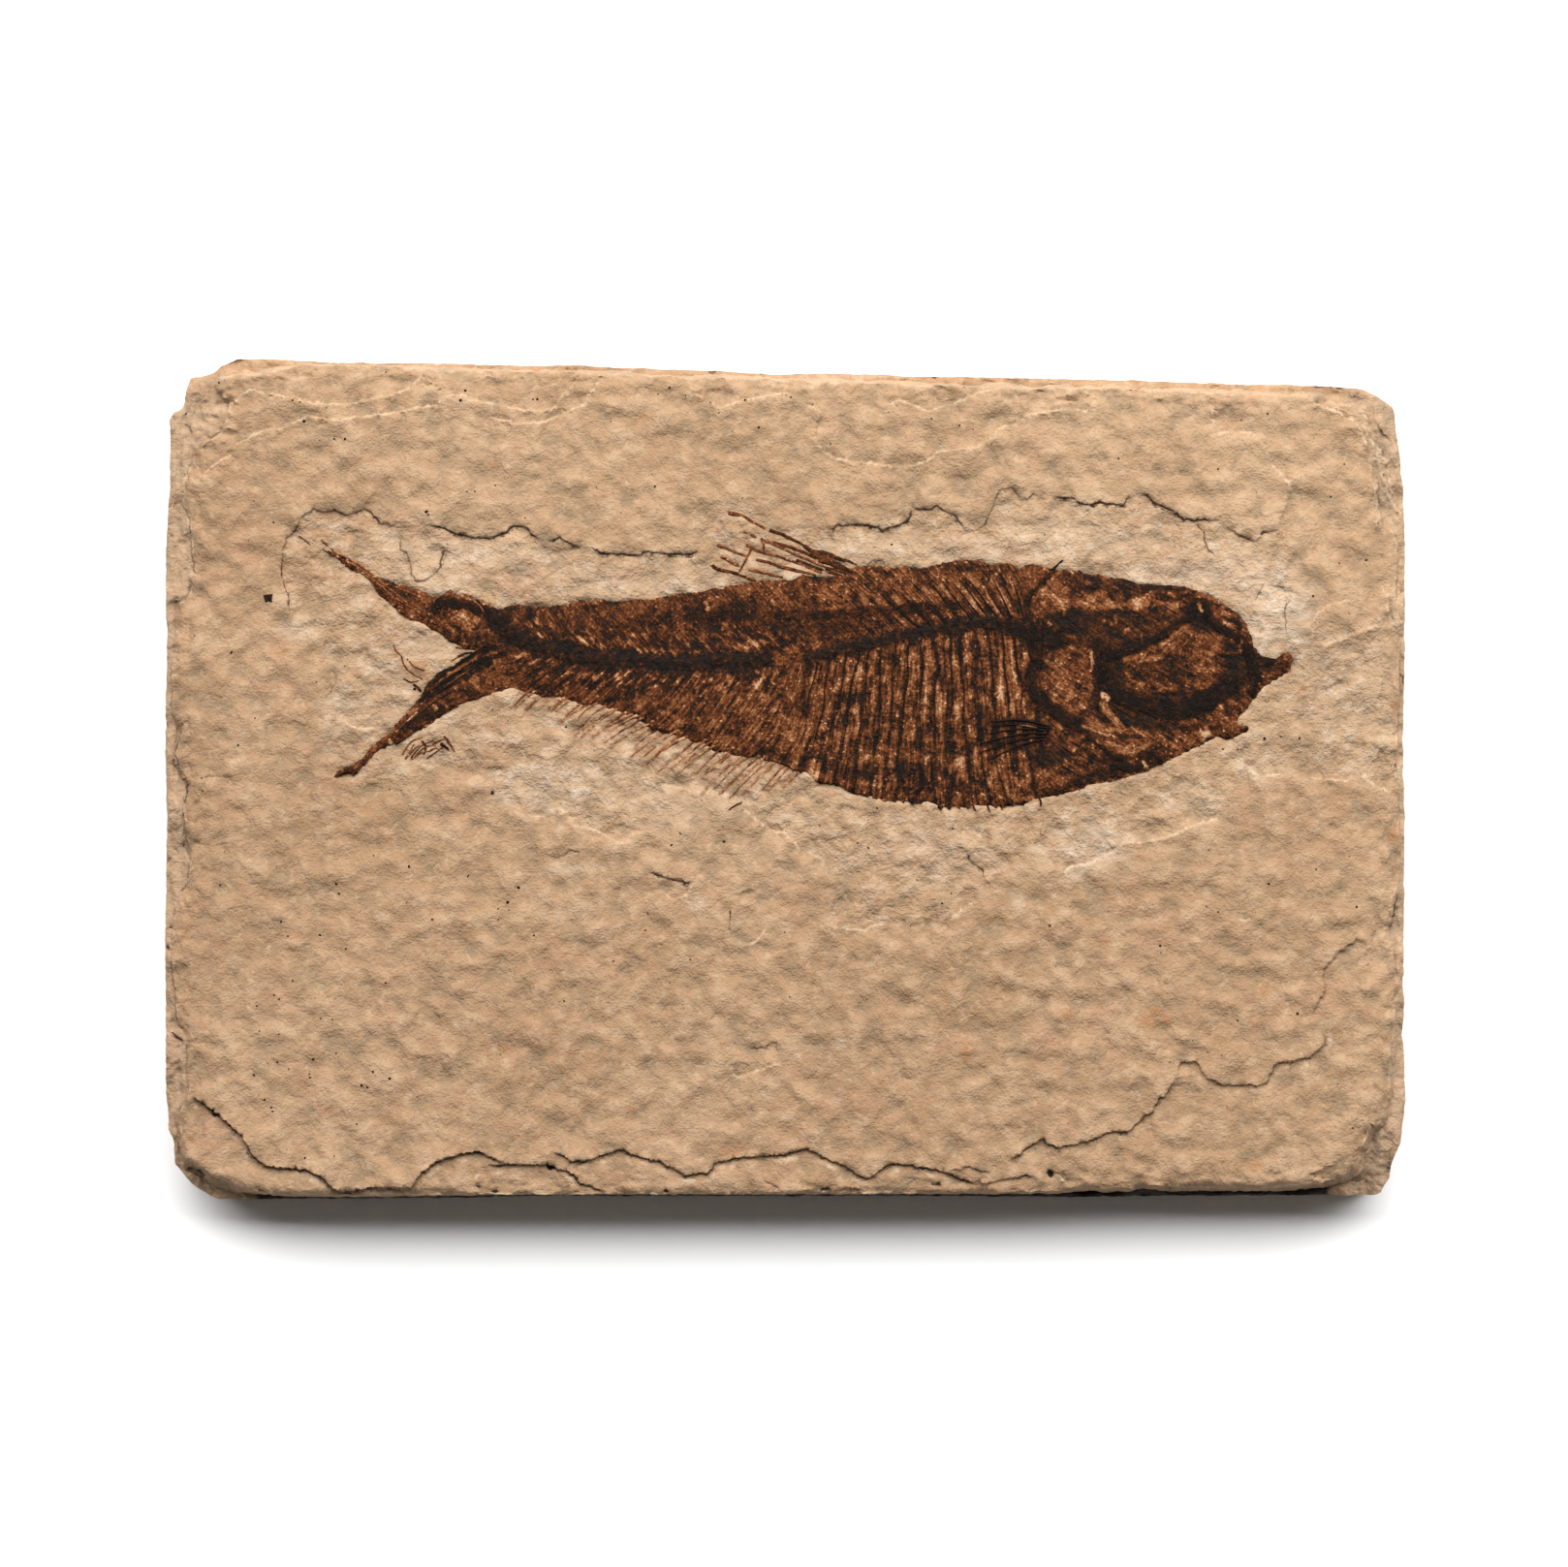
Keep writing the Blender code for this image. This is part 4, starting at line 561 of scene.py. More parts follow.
# Fibres of the tail's lobes: half width (pixels), rise, tone and points
TAIL_FIBRES = [
    (1.3, 0.14, 0.06, [(445, 706), (466, 690), (486, 676), (505, 664)]),
    (1.1, 0.14, 0.08, [(446, 712), (468, 696), (490, 681), (508, 668)]),
    (1.2, 0.14, 0.06, [(452, 715), (472, 701), (492, 687)]),
    (1.0, 0.12, 0.12, [(440, 716), (456, 703), (470, 693)]),
    (1.2, 0.12, 0.1, [(452, 698), (470, 687), (489, 673)]),
    (1.4, 0.12, 0.14, [(424, 745), (436, 734), (452, 722), (470, 712)]),
    (1.2, 0.12, 0.4, [(398, 764), (414, 748), (428, 734), (440, 722)]),
    (1.2, 0.1, 0.46, [(404, 757), (418, 742), (432, 726)]),
    (1.3, 0.12, 0.2, [(408, 768), (424, 757), (442, 745), (460, 732)]),
    (1.2, 0.1, 0.62, [(344, 569), (362, 578), (380, 590), (400, 606), (420, 622)]),
    (1.0, 0.1, 0.68, [(356, 578), (372, 587), (388, 600), (408, 618)]),
    (1.1, 0.1, 0.44, [(400, 603), (424, 612), (446, 624)]),
    (1.1, 0.1, 0.5, [(404, 616), (426, 628), (450, 644)]),
    (1.0, 0.1, 0.3, [(452, 640), (464, 652), (478, 662)]),
    (1.3, 0.14, 0.1, [(492, 619), (500, 628), (508, 640)]),
    (1.1, 0.12, 0.6, [(486, 617), (494, 624), (500, 632)])]

# Dorsal fin rays: half width (pixels), tone and points from the tip
DORSAL_RAYS = [
    (1.7, 0.34, [(751, 529), (765, 532), (775, 538), (790, 546)]),
    (1.7, 0.1, [(794, 547), (808, 552), (820, 558), (830, 563)]),
    (2.3, 0.1, [(830, 563), (838, 569), (850, 571), (870, 577), (884, 583)]),
    (1.1, 0.42, [(767, 548), (780, 554)]),
    (1.3, 0.36, [(786, 557), (795, 560), (810, 567), (840, 580), (865, 592)]),
    (1.3, 0.42, [(740, 562), (750, 566), (770, 574)]),
    (1.2, 0.36, [(770, 562), (785, 569), (800, 573), (825, 582), (855, 594)]),
    (1.3, 0.42, [(744, 574), (763, 584)]), (1.3, 0.34, [(780, 578), (795, 581), (815, 588), (825, 590)]),
    (1.6, 0.2, [(735, 583), (740, 587), (760, 592), (780, 599)]),
    (1.2, 0.36, [(773, 587), (785, 590), (808, 596)]),
    (1.5, 0.14, [(836, 570), (850, 577), (866, 586), (880, 596)]),
    (1.5, 0.12, [(846, 574), (862, 580), (876, 588), (888, 597)]),
    (1.6, 0.12, [(796, 560), (812, 564), (828, 569), (842, 576)]),
    (1.9, 0.1, [(836, 571), (855, 579), (870, 585), (882, 590)]),
    (1.4, 0.14, [(852, 586), (868, 590), (886, 595)]), (0.9, 0.34, [(776, 564), (770, 577), (763, 590)]),
    (0.9, 0.36, [(786, 555), (788, 562), (788, 568)]),
    (2.2, 0.06, [(838, 569), (854, 577), (872, 586), (888, 595)]),
    (2.0, 0.08, [(846, 578), (862, 585), (880, 593)]), (1.6, 0.1, [(822, 578), (842, 586), (868, 594)]),
    (1.2, 0.3, [(800, 583), (820, 588), (842, 594)])]

# Anal fin: stations along the belly, where its rays start, how long they are and how they slant
ANAL_STATIONS = [548, 600, 660, 720, 770, 800, 832]
ANAL_BELLY = [713, 723, 742, 763, 778, 786, 795]
ANAL_LENGTH = [28, 36, 50, 60, 60, 54, 32]
ANAL_ANGLE = [42, 38, 34, 38, 44, 48, 46]
ANAL_COUNT = 42
ANAL_BROKEN = 0.12

# Pectoral fin rays, from root to tip, and stray slivers on the rock, with half width and tone
PECTORAL_RAYS = [
    (1.5, 0.04, [(1084, 750), (1062, 744), (1044, 743), (1022, 745)]),
    (1.1, 0.05, [(1084, 752), (1060, 748), (1040, 748), (1024, 750)]),
    (1.1, 0.05, [(1083, 754), (1060, 752), (1038, 754), (1020, 757)]),
    (1.1, 0.07, [(1082, 757), (1058, 757), (1036, 761), (1012, 767)]),
    (1.0, 0.09, [(1080, 760), (1058, 762), (1036, 768), (1010, 777)]),
    (0.9, 0.1, [(1078, 763), (1058, 767), (1040, 774), (1022, 783)]),
    (0.8, 0.56, [(1070, 751), (1060, 749), (1050, 748)])]
STRAYS = [
    (1.0, 0.16, [(472, 677), (480, 674), (487, 673)]), (0.9, 0.36, [(466, 682), (473, 678), (478, 676)]),
    (0.9, 0.5, [(470, 668), (478, 669), (486, 667)]), (2.4, 0.1, [(427, 710), (429, 712)]),
    (0.9, 0.3, [(416, 700), (424, 704), (432, 702)]), (0.9, 0.5, [(308, 553), (314, 557), (321, 563)]),
    (1.1, 0.42, [(331, 557), (340, 565), (350, 573)]),
    (1.1, 0.38, [(414, 677), (418, 688), (427, 696), (436, 701)]),
    (0.9, 0.44, [(420, 680), (428, 688), (438, 692)]), (0.8, 0.5, [(406, 665), (409, 672), (414, 677)]),
    (2.2, 0.12, [(426, 706), (431, 710), (434, 714)]), (1.0, 0.4, [(415, 779), (424, 766), (436, 761)]),
    (0.9, 0.36, [(424, 782), (434, 770), (447, 764)]), (1.6, 0.14, [(458, 760), (464, 768), (469, 776)]),
    (0.9, 0.3, [(440, 783), (450, 776), (458, 770)]), (1.0, 0.14, [(752, 836), (758, 832), (765, 828)]),
    (1.9, 0.1, [(1078, 594), (1088, 586), (1097, 578)]),
    (1.3, 0.12, [(1004, 829), (1005, 833), (1007, 837)]),
    (1.3, 0.12, [(1019, 830), (1020, 834), (1022, 838)]), (1.2, 0.14, [(1032, 830), (1034, 836)]),
    (1.2, 0.14, [(1072, 822), (1074, 828), (1074, 832)])]
SCRAP_RAYS = [
    (1.3, 0.46, [(418, 783), (427, 773), (433, 769)]), (1.1, 0.4, [(422, 777), (427, 768)]),
    (1.6, 0.34, [(435, 764), (439, 771), (437, 779)]), (1.2, 0.44, [(446, 768), (454, 764), (461, 762)]),
    (1.4, 0.3, [(461, 762), (465, 769), (469, 776)]), (2.6, 0.16, [(455, 767), (459, 770), (463, 774)]),
    (1.0, 0.5, [(430, 778), (440, 770), (450, 770)]), (0.9, 0.56, [(424, 784), (434, 777), (444, 775)]),
    (1.0, 0.4, [(443, 775), (450, 772), (456, 776)])]

# Sampling: spacings of the meshes' points (pixels), and the reach of the fine bands beside each line
FACE_SPACING = (4.8, 2.7, 1.6)
FACE_BANDS = (7, 2.6)
RIM_BAND = 10
FISH_SPACING = 1.42
WALL_SPACING = 4.2
CRACK_REACH = 2.8
CHUNK = 400_000
TINY = 1e-6


def up(points):
    """Picture pixels as pixels from the slab's centre, with Y up as on the part."""
    return (np.array(points, float) - SLAB_CENTRE) * (1, -1)


def curve(points, cuts=4):
    """A smooth line through points of the picture, with Y up."""
    line = up(points)
    if len(line) < 3:
        return line
    padded = np.vstack((2 * line[0] - line[1], line, 2 * line[-1] - line[-2]))
    pieces = []
    for a, b, c, d in zip(padded, padded[1:], padded[2:], padded[3:]):
        for t in np.arange(cuts) / cuts:
            pieces.append(0.5 * (2 * b + (c - a) * t + (2 * a - 5 * b + 4 * c - d) * t ** 2
                                 + (3 * b - a - 3 * c + d) * t ** 3))
    return np.vstack(pieces + [line[-1:]])


def closed(outline):
    """The outline with its first point repeated at its end."""
    return np.vstack((outline, outline[:1]))


def travelled(line):
    """Way along a line at each of its points, in pixels."""
    return np.concatenate(([0], np.cumsum(np.linalg.norm(np.diff(line, axis=0), axis=1))))


def measure(spots, line):
    """Distance to a line, side (+1 on the left of its way) and way along it, in pixels."""
    run = line[1:] - line[:-1]
    length = np.maximum(np.hypot(*run.T), TINY)
    starts = travelled(line)
    found = []
    for part in np.array_split(spots, 1 + len(spots) * len(run) // CHUNK):
        offset = part[:, None] - line[None, :-1]
        share = np.clip((offset * run).sum(axis=2) / length ** 2, 0, 1)
        gap = np.linalg.norm(offset - share[..., None] * run, axis=2)
        turn = (run[:, 0] * offset[..., 1] - run[:, 1] * offset[..., 0]) / length
        rows, best = np.arange(len(part)), (gap - 0.001 * np.abs(turn)).argmin(axis=1)
        along = starts[best] + share[rows, best] * length[best]
        found.append((gap[rows, best], np.sign(turn[rows, best]), along))
    return [np.concatenate(column) for column in zip(*found)]


def beside(spots, line, reach):
    """Rows of the spots within reach of a line's box, with their distance, side and way."""
    low, high = line.min(axis=0) - reach, line.max(axis=0) + reach
    rows = np.flatnonzero(((spots > low) & (spots < high)).all(axis=1))
    if not len(rows):
        return rows, rows, rows, rows
    gap, side, along = measure(spots[rows], line)
    keep = gap < reach
    return rows[keep], gap[keep], side[keep], along[keep]


def inside(spots, outline):
    """True for the spots that lie inside a closed outline."""
    ends = np.roll(outline, -1, axis=0)
    result = []
    for part in np.array_split(spots, 1 + len(spots) * len(outline) // CHUNK):
        x, y = part[:, 0, None], part[:, 1, None]
        crosses = (outline[:, 1] > y) != (ends[:, 1] > y)
        with np.errstate(divide="ignore", invalid="ignore"):
            slope = (ends[:, 0] - outline[:, 0]) / (ends[:, 1] - outline[:, 1])
            hits = crosses & (x < outline[:, 0] + (y - outline[:, 1]) * slope)
        result.append(hits.sum(axis=1) % 2 == 1)
    return np.concatenate(result)


def wave(spots, size, layer, octaves=3):
    """Smooth noise between about -1 and 1, with features of the given size (pixels)."""
    places = np.column_stack((spots / size, np.broadcast_to(np.asarray(layer, float), len(spots))))
    return np.array([noise.fractal(Vector(place), 1.0, 2.0, octaves) for place in places])


def smooth_step(values):
    """0 below 0, 1 above 1 and a smooth slope between."""
    values = np.clip(values, 0, 1)
    return values * values * (3 - 2 * values)


def band(values, low, high, rise, fall):
    """1 between low and high, with a soft slope of the given width inside each end."""
    return smooth_step((values - low) / rise) * smooth_step((high - values) / fall)


def shifted(line, distance, loop=False):
    """A line beside the given one, at a distance to the left of its way."""
    before, after = np.roll(line, 1, axis=0), np.roll(line, -1, axis=0)
    if not loop:
        before[0], after[-1] = line[0], line[-1]
    way = after - before
    way /= np.maximum(np.linalg.norm(way, axis=1, keepdims=True), TINY)
    return line + np.column_stack((-way[:, 1], way[:, 0])) * np.reshape(distance, (-1, 1))


def ragged(spots, layer, size=7, amount=1.3):
    """Spots moved a little by noise, so that lines measured from them run raggedly."""
    shift_x = wave(spots, size, layer) + 0.5 * wave(spots, size / 3, layer + 3)
    shift_y = wave(spots, size, layer + 7) + 0.5 * wave(spots, size / 3, layer + 11)
    return spots + amount * np.column_stack((shift_x, shift_y))


def resample(outline, spacing):
    """Evenly spaced points along a closed outline."""
    loop = closed(outline)
    ways = travelled(loop)
    at = np.linspace(0, ways[-1], round(ways[-1] / spacing), endpoint=False)
    return np.column_stack([np.interp(at, ways, loop[:, axis]) for axis in (0, 1)])


def gap_to(spots, edge):
    """Distance to a closed edge, in pixels."""
    dots = resample(edge, 0.7)
    tree = KDTree(len(dots))
    for index, dot in enumerate(dots):
        tree.insert((*dot, 0), index)
    tree.balance()
    return np.array([tree.find((x, y, 0))[2] for x, y in spots])


def depth_inside(spots, edge):
    """Distance to a closed edge, negative outside it, in pixels."""
    gap = gap_to(spots, edge)
    return np.where(inside(spots, edge), gap, -gap)


def settled(spots, rim, margin):
    """The spots inside a finely drawn rim and at least a margin away from it."""
    gap = gap_to(spots, rim)
    close = gap < 8
    held = np.empty(len(spots), bool)
    held[close] = inside(spots[close], rim)
    held[~close] = inside(spots[~close], rim[::6])
    return spots[held & (gap > margin)]


SLAB_EDGE = up(SLAB_OUTLINE)
FACE_RIM = up([(x, y) for x, y, drop in FACE_EDGE])
FACE_DROPS = np.array([drop for x, y, drop in FACE_EDGE])
BASIN_EDGE = up(BASIN)
FISH_EDGE = up(FISH_OUTLINE)
SPINE_LINE = curve(BACKBONE)
LEDGE_LINES = [(*ledge, up(points)) for *ledge, points in LEDGES]


def lumps(spots):
    """The broad soft lumps of the bedding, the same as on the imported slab."""
    return LUMP_HEIGHT * wave(spots, LUMP_PIXELS, LUMP_LAYER)


def along_sides(spots, length, depth, layer):
    """Noise drawn out along whichever side of the slab is near."""
    ends = smooth_step((np.abs(spots[:, 0]) - FACE_ENDS) / 40)
    lengthwise = wave(spots, (length, depth), layer)
    return lengthwise * (1 - ends) + wave(spots, (depth, length), layer) * ends


def basin_share(spots):
    """How far a spot lies in the prepared hollow round the fish, from 0 outside it to 1."""
    return smooth_step((depth_inside(spots, BASIN_EDGE) + BASIN_SLOPE * 0.6) / BASIN_SLOPE)


def broad_rock(spots):
    """The face without its grain and ledges: soft lumps and the hollow round the fish."""
    return FACE_HEIGHT + lumps(spots) - BASIN_DEPTH * basin_share(spots)


def face_drop(spots):
    """Distance to the upper beds' edge (pixels), and how far the rock steps down there."""
    loop = closed(FACE_RIM)
    gap, _, along = measure(spots, loop)
    return gap, np.interp(along, travelled(loop), np.append(FACE_DROPS, FACE_DROPS[0]))


def terraced(height, layer):
    """Heights broken into flat layers of rock with a steep riser between each."""
    whole = np.floor(height / layer)
    return layer * (whole + smooth_step((height / layer - whole) * 2.6 - 1.6))


def rock(spots, fine=True):
    """Height of the rock's face with ledges, cracks, pits and dimples, and its colour masks, which also
    paint shade into hollows and pits and highlights along the ledges.
    """
    worked = basin_share(spots)
    height = FACE_HEIGHT + lumps(spots) - BASIN_DEPTH * worked
    crack, hollow, fresh, pit = np.zeros((4, len(spots)))
    crack_gap = np.full(len(spots), CRACK_REACH)
    torn = ragged(spots, 5, 7, 1.8)
    fraying = wave(spots, 12, 21, 2)
    for step, relax, groove, dark, line in LEDGE_LINES:
        rows, gap, side, along = beside(torn, line, 3.5 * relax)
        if not len(rows):
            continue
        fade = np.clip(np.minimum(along, travelled(line)[-1] - along) / 10, 0, 1)
        stair = side * np.exp(-gap / relax) * smooth_step(gap / 0.9)
        height[rows] += 0.5 * STEP_SHARE * step * fade * stair
        bite = fade * np.clip(0.78 + 0.7 * fraying[rows], 0.45, 1.1)
        height[rows] -= 0.8 * groove * bite * np.exp(-(gap / 1.4) ** 2)
        nearer = (gap < np.abs(crack_gap[rows])) & (dark > 0)
        crack_gap[rows[nearer]] = (side * gap)[nearer]
        crack[rows[nearer]] = (dark * bite * smooth_step((CRACK_REACH - gap) / 1.3))[nearer]
        # Pale bands beside the ledges: newly broken rock and painted highlight of the steps, brighter on
        # ledges that run up and down the picture
        if step < 0:
            wide, tall = np.ptp(line, axis=0)
            bright = (0.85 + 0.5 * tall / (wide + tall)) * np.clip(0.8 + 1.6 * fraying[rows], 0, 1.2)
            fresh[rows] = np.maximum(fresh[rows], fade * bright * np.exp(-(gap / 1.1) ** 2))
            # Painted shade on the low side of each bright ledge
            hollow[rows] += 1.5 * fade * (side * step < 0) * np.exp(-((gap - 2.6) / 1.5) ** 2)
        elif step > 0.3:
            chips = fade * (side < 0) * np.clip(0.2 + 2.2 * fraying[rows], 0, 1.1)
            fresh[rows] = np.maximum(fresh[rows], chips * np.exp(-((gap - 6) / 3.5) ** 2))
    for x, y, wide, tall, depth, dark in PITS:
        reach = np.linalg.norm((torn - up((x, y))) / (wide, tall), axis=1)
        bowl = np.exp(-reach ** 2 * 1.4)
        height -= depth * bowl
        # Painted shade in the pits: a near-black fill for the darkest, grey in the hollow mask for the
        # rest
        if dark > 0.6:
            pit = np.maximum(pit, dark * bowl)
        else:
            hollow += dark * bowl
    dimples = wave(spots, (27, 27), 2, 1)
    pocks = wave(spots, (14, 15), 4, 1)
    height += 0.42 * dimples + 0.31 * pocks + worked * 0.22 * wave(spots, (17, 12), 9, 2)
    if fine:
        height += 0.03 * wave(spots, (6, 5), 6, 2)
    # Painted shade in the low places of the dimples and pocks; below zero on their tops, which the stone
    # paints paler
    hollow += np.clip(-dimples - 0.8 * pocks, -0.8, 1)
    masks = {"crack": crack, "crack_gap": crack_gap, "pit": pit, "hollow": hollow, "fresh": fresh}
    return height, masks | {"worked": worked}


def stains(spots, marks, layer):
    """A mask of soft blotches with broken edges."""
    mask = np.zeros(len(spots))
    broken = wave(spots, 14, layer)
    for x, y, wide, tall, strength in marks:
        reach = np.linalg.norm((spots - up((x, y))) / (wide, tall), axis=1)
        mask = np.maximum(mask, strength * smooth_step(1.6 - reach + 0.7 * broken))
    return mask


class Value:
    """One socket of a node tree; an operator on it adds the Math node that works it out."""

    def __init__(self, graph, socket):
        self.graph = graph
        self.socket = socket

    def maths(self, operation, *values):
        return self.graph.add("ShaderNodeMath", {"operation": operation}, dict(enumerate(values)))

    def __abs__(self):
        return self.maths("ABSOLUTE", self)

    def __add__(self, other):
        return self.maths("ADD", self, other)

    def __sub__(self, other):
        return self.maths("SUBTRACT", self, other)

    def __rsub__(self, other):
        return self.maths("SUBTRACT", other, self)

    def __mul__(self, other):
        return self.maths("MULTIPLY", self, other)

    __radd__ = __add__
    __rmul__ = __mul__


class Graph:
    """A node tree under construction."""

    def __init__(self, tree):
        self.tree = tree

    def add(self, kind, settings=None, inputs=None, output=0):
        """Add a node: its settings first, then the values or links of its sockets."""
        node = self.tree.nodes.new(kind)
        for name, setting in (settings or {}).items():
            if name == "stops":
                self.set_stops(node.color_ramp, setting)
            else:
                setattr(node, name, setting)
        for name, value in (inputs or {}).items():
            if isinstance(value, Value):
                self.tree.links.new(value.socket, node.inputs[name])
            else:
                node.inputs[name].default_value = value
        return Value(self, node.outputs[output])

    def feed(self, value, socket):
        """Link a value to a socket of another node."""
        self.tree.links.new(value.socket, socket)

    def set_stops(self, ramp, stops):
        """Give a colour ramp its stops: position and colour."""
        while len(ramp.elements) < len(stops):
            ramp.elements.new(1)
        for element, (position, colour) in zip(ramp.elements, stops):
            element.position = position
            element.color = (*colour, 1)

    def attribute(self, name):
        return self.add("ShaderNodeAttribute", {"attribute_name": name}, output=2)

    def grain(self, where, size, detail=3, roughness=0.55):
        """Noise from 0 to 1 with features of a size in metres."""
        inputs = {"Vector": where, "Scale": 1 / size, "Detail": detail, "Roughness": roughness}
        return self.add("ShaderNodeTexNoise", {"noise_dimensions": "3D"}, inputs)

    def stretched(self, where, scale):
        return self.add("ShaderNodeMapping", {}, {"Vector": where, "Scale": scale})

    def between(self, value, low, high):
        """The value spread so that low gives 0 and high gives 1, held to that span."""
        return self.add("ShaderNodeMapRange", {"clamp": True},
                        {"Value": value, "From Min": low, "From Max": high})

    def blend(self, factor, first, second):
        """Two colours mixed by a factor."""
        inputs = {0: factor, 6: first, 7: second}
        return self.add("ShaderNodeMix", {"data_type": "RGBA"}, inputs, output=2)


def colour(red, green, blue):
    return (red, green, blue, 1.0)


WARM_TAN = colour(0.342, 0.220, 0.127)
DEEP_TAN = colour(0.280, 0.170, 0.092)
BLUSH_TAN = colour(0.288, 0.160, 0.091)
GREY_TAN = colour(0.192, 0.134, 0.079)
PALE_STONE = colour(0.412, 0.290, 0.184)
CREAM = colour(0.50, 0.386, 0.276)
CHALK_AND_SIDE_LIGHT_WHITE = colour(0.466, 0.377, 0.282)
CRACK_BROWN = colour(0.062, 0.035, 0.019)
PAINTED_SHADE_BROWN = colour(0.018, 0.010, 0.005)
RUST_RED = colour(0.285, 0.115, 0.040)
FILM_GRAIN_AND_SHADE_BROWN = colour(0.150, 0.070, 0.034)


def new_material(name):
    """A material, its shader, the graph of its other nodes and the place in the piece."""
    material = bpy.data.materials.new(name)
    material.use_nodes = True
    graph = Graph(material.node_tree)
    where = graph.add("ShaderNodeTexCoord", output=3)
    return material, material.node_tree.nodes["Principled BSDF"], graph, where


def stone_material(name, lift):
    """Split limestone: warm tan, grey and pale mottling, dark cracks, pale tool marks, rust, painted
    shade and highlights.
    """
    material, shader, graph, where = new_material(name)
    broad = graph.stretched(where, (1.02, 0.96, 1.0))
    clouds = graph.grain(broad, 0.020, 3)
    blush = graph.grain(broad, 0.0068, 2)
    nodules = graph.grain(broad, 0.0026, 2, 0.45)
    smear = graph.grain(graph.stretched(where, (0.75, 1.1, 1.0)), 0.0022, 3, 0.6)
    fine = graph.grain(where, 0.0010, 3, 0.6)
    dust = graph.grain(where, 0.00028, 2, 0.6)
    hollow = graph.attribute("hollow")
    worked = graph.attribute("worked")
    skin = graph.blend(graph.between(clouds, 0.36, 0.66), WARM_TAN, DEEP_TAN)
    across = graph.add("ShaderNodeSeparateXYZ", {}, {0: where})
    upward = graph.add("ShaderNodeSeparateXYZ", {}, {0: where}, output=1)
    # Painted shade: the rock darkens towards the bottom and the left
    skin = graph.blend(graph.between(upward + across * 0.6, 0.05, -0.05) * 0.25, skin, FILM_GRAIN_AND_SHADE_BROWN)
    skin = graph.blend(graph.between(blush, 0.56, 0.68) * 0.45, skin, BLUSH_TAN)
    # Grey mottling, set into the bump's low places with painted shade there and in the hollow mask; pale
    # on the bump's tops as painted highlight
    low = 0.5 - nodules + hollow * 0.10
    skin = graph.blend(graph.between(low + (smear - 0.5) * 0.9, 0.03, 0.20) * 0.60, skin, GREY_TAN)
    skin = graph.blend(graph.between(low, -0.02, -0.16) * 0.30, skin, PALE_STONE)
    skin = graph.blend(graph.between(fine, 0.54, 0.70) * 0.45, skin, DEEP_TAN)
    skin = graph.blend(graph.between(fine, 0.46, 0.30) * 0.40, skin, PALE_STONE)
    skin = graph.blend(graph.between(dust, 0.60, 0.76) * 0.5, skin, FILM_GRAIN_AND_SHADE_BROWN)
    # Chalk left by the tools, and painted light on the lower beds' side strips
    chalk_and_side_light_mask = graph.attribute("chalk") + worked * 0.35 * graph.between(smear, 0.50, 0.40)
    skin = graph.blend(chalk_and_side_light_mask * graph.between(fine, 0.30, 0.60), skin, CHALK_AND_SIDE_LIGHT_WHITE)
    # Cream: newly broken rock and painted highlights of the lit ledges, risers and rim
    fresh = graph.between(graph.attribute("fresh") + (fine - 0.5) * 0.5, 0.3, 0.9)
    skin = graph.blend(fresh * 0.42, skin, CREAM)
    skin = graph.blend(graph.attribute("rust") * graph.between(fine, 0.35, 0.6), skin, RUST_RED)
    film = graph.attribute("film") + (fine - 0.5) * 0.5
    skin = graph.blend(graph.between(film, 0.12, 0.60) * 0.7, skin, FILM_GRAIN_AND_SHADE_BROWN)
    crack = graph.attribute("crack")
    beyond = abs(graph.attribute("crack_gap")) + (fine - 0.5) * 2.2
    split = graph.between(crack * 1.25 + 0.1 - beyond, -0.45, 0.45)
    skin = graph.blend(split * graph.between(crack, 0.02, 0.55), skin, CRACK_BROWN)
    # Painted shade: near-black brown in the pits and on the strip in front of the face's edge
    pit = graph.attribute("pit") + (fine - 0.5) * 0.3
    skin = graph.blend(graph.between(pit, 0.30, 0.5), skin, PAINTED_SHADE_BROWN)
    wall = graph.attribute("wall")
    layers = graph.grain(graph.stretched(where, (12, 12, 700)), 1.0, 3, 0.6)
    skin = graph.blend(wall * graph.between(layers, 0.50, 0.75) * 0.7, skin, GREY_TAN)
    skin = graph.blend(wall * graph.between(layers, 0.48, 0.25) * 0.6, skin, PALE_STONE)
    graph.feed(skin, shader.inputs["Base Color"])
    relief = nodules * 1.35 + fine * (worked * 0.5 + 0.6) + dust * 0.32 + wall * layers * 0.8
    bump = graph.add("ShaderNodeBump", {}, {"Strength": 0.9, "Distance": lift, "Height": relief})
    graph.feed(bump, shader.inputs["Normal"])
    shader.inputs["Roughness"].default_value = 0.92
    shader.inputs["Specular IOR Level"].default_value = 0.25
    return material


BONE_TONES = [
    (0.00, (0.0050, 0.0033, 0.0022)), (0.12, (0.0112, 0.0053, 0.0028)),
    (0.28, (0.0395, 0.0122, 0.0038)), (0.50, (0.109, 0.0335, 0.0106)),
    (0.75, (0.216, 0.086, 0.033)), (1.00, (0.41, 0.255, 0.147))]


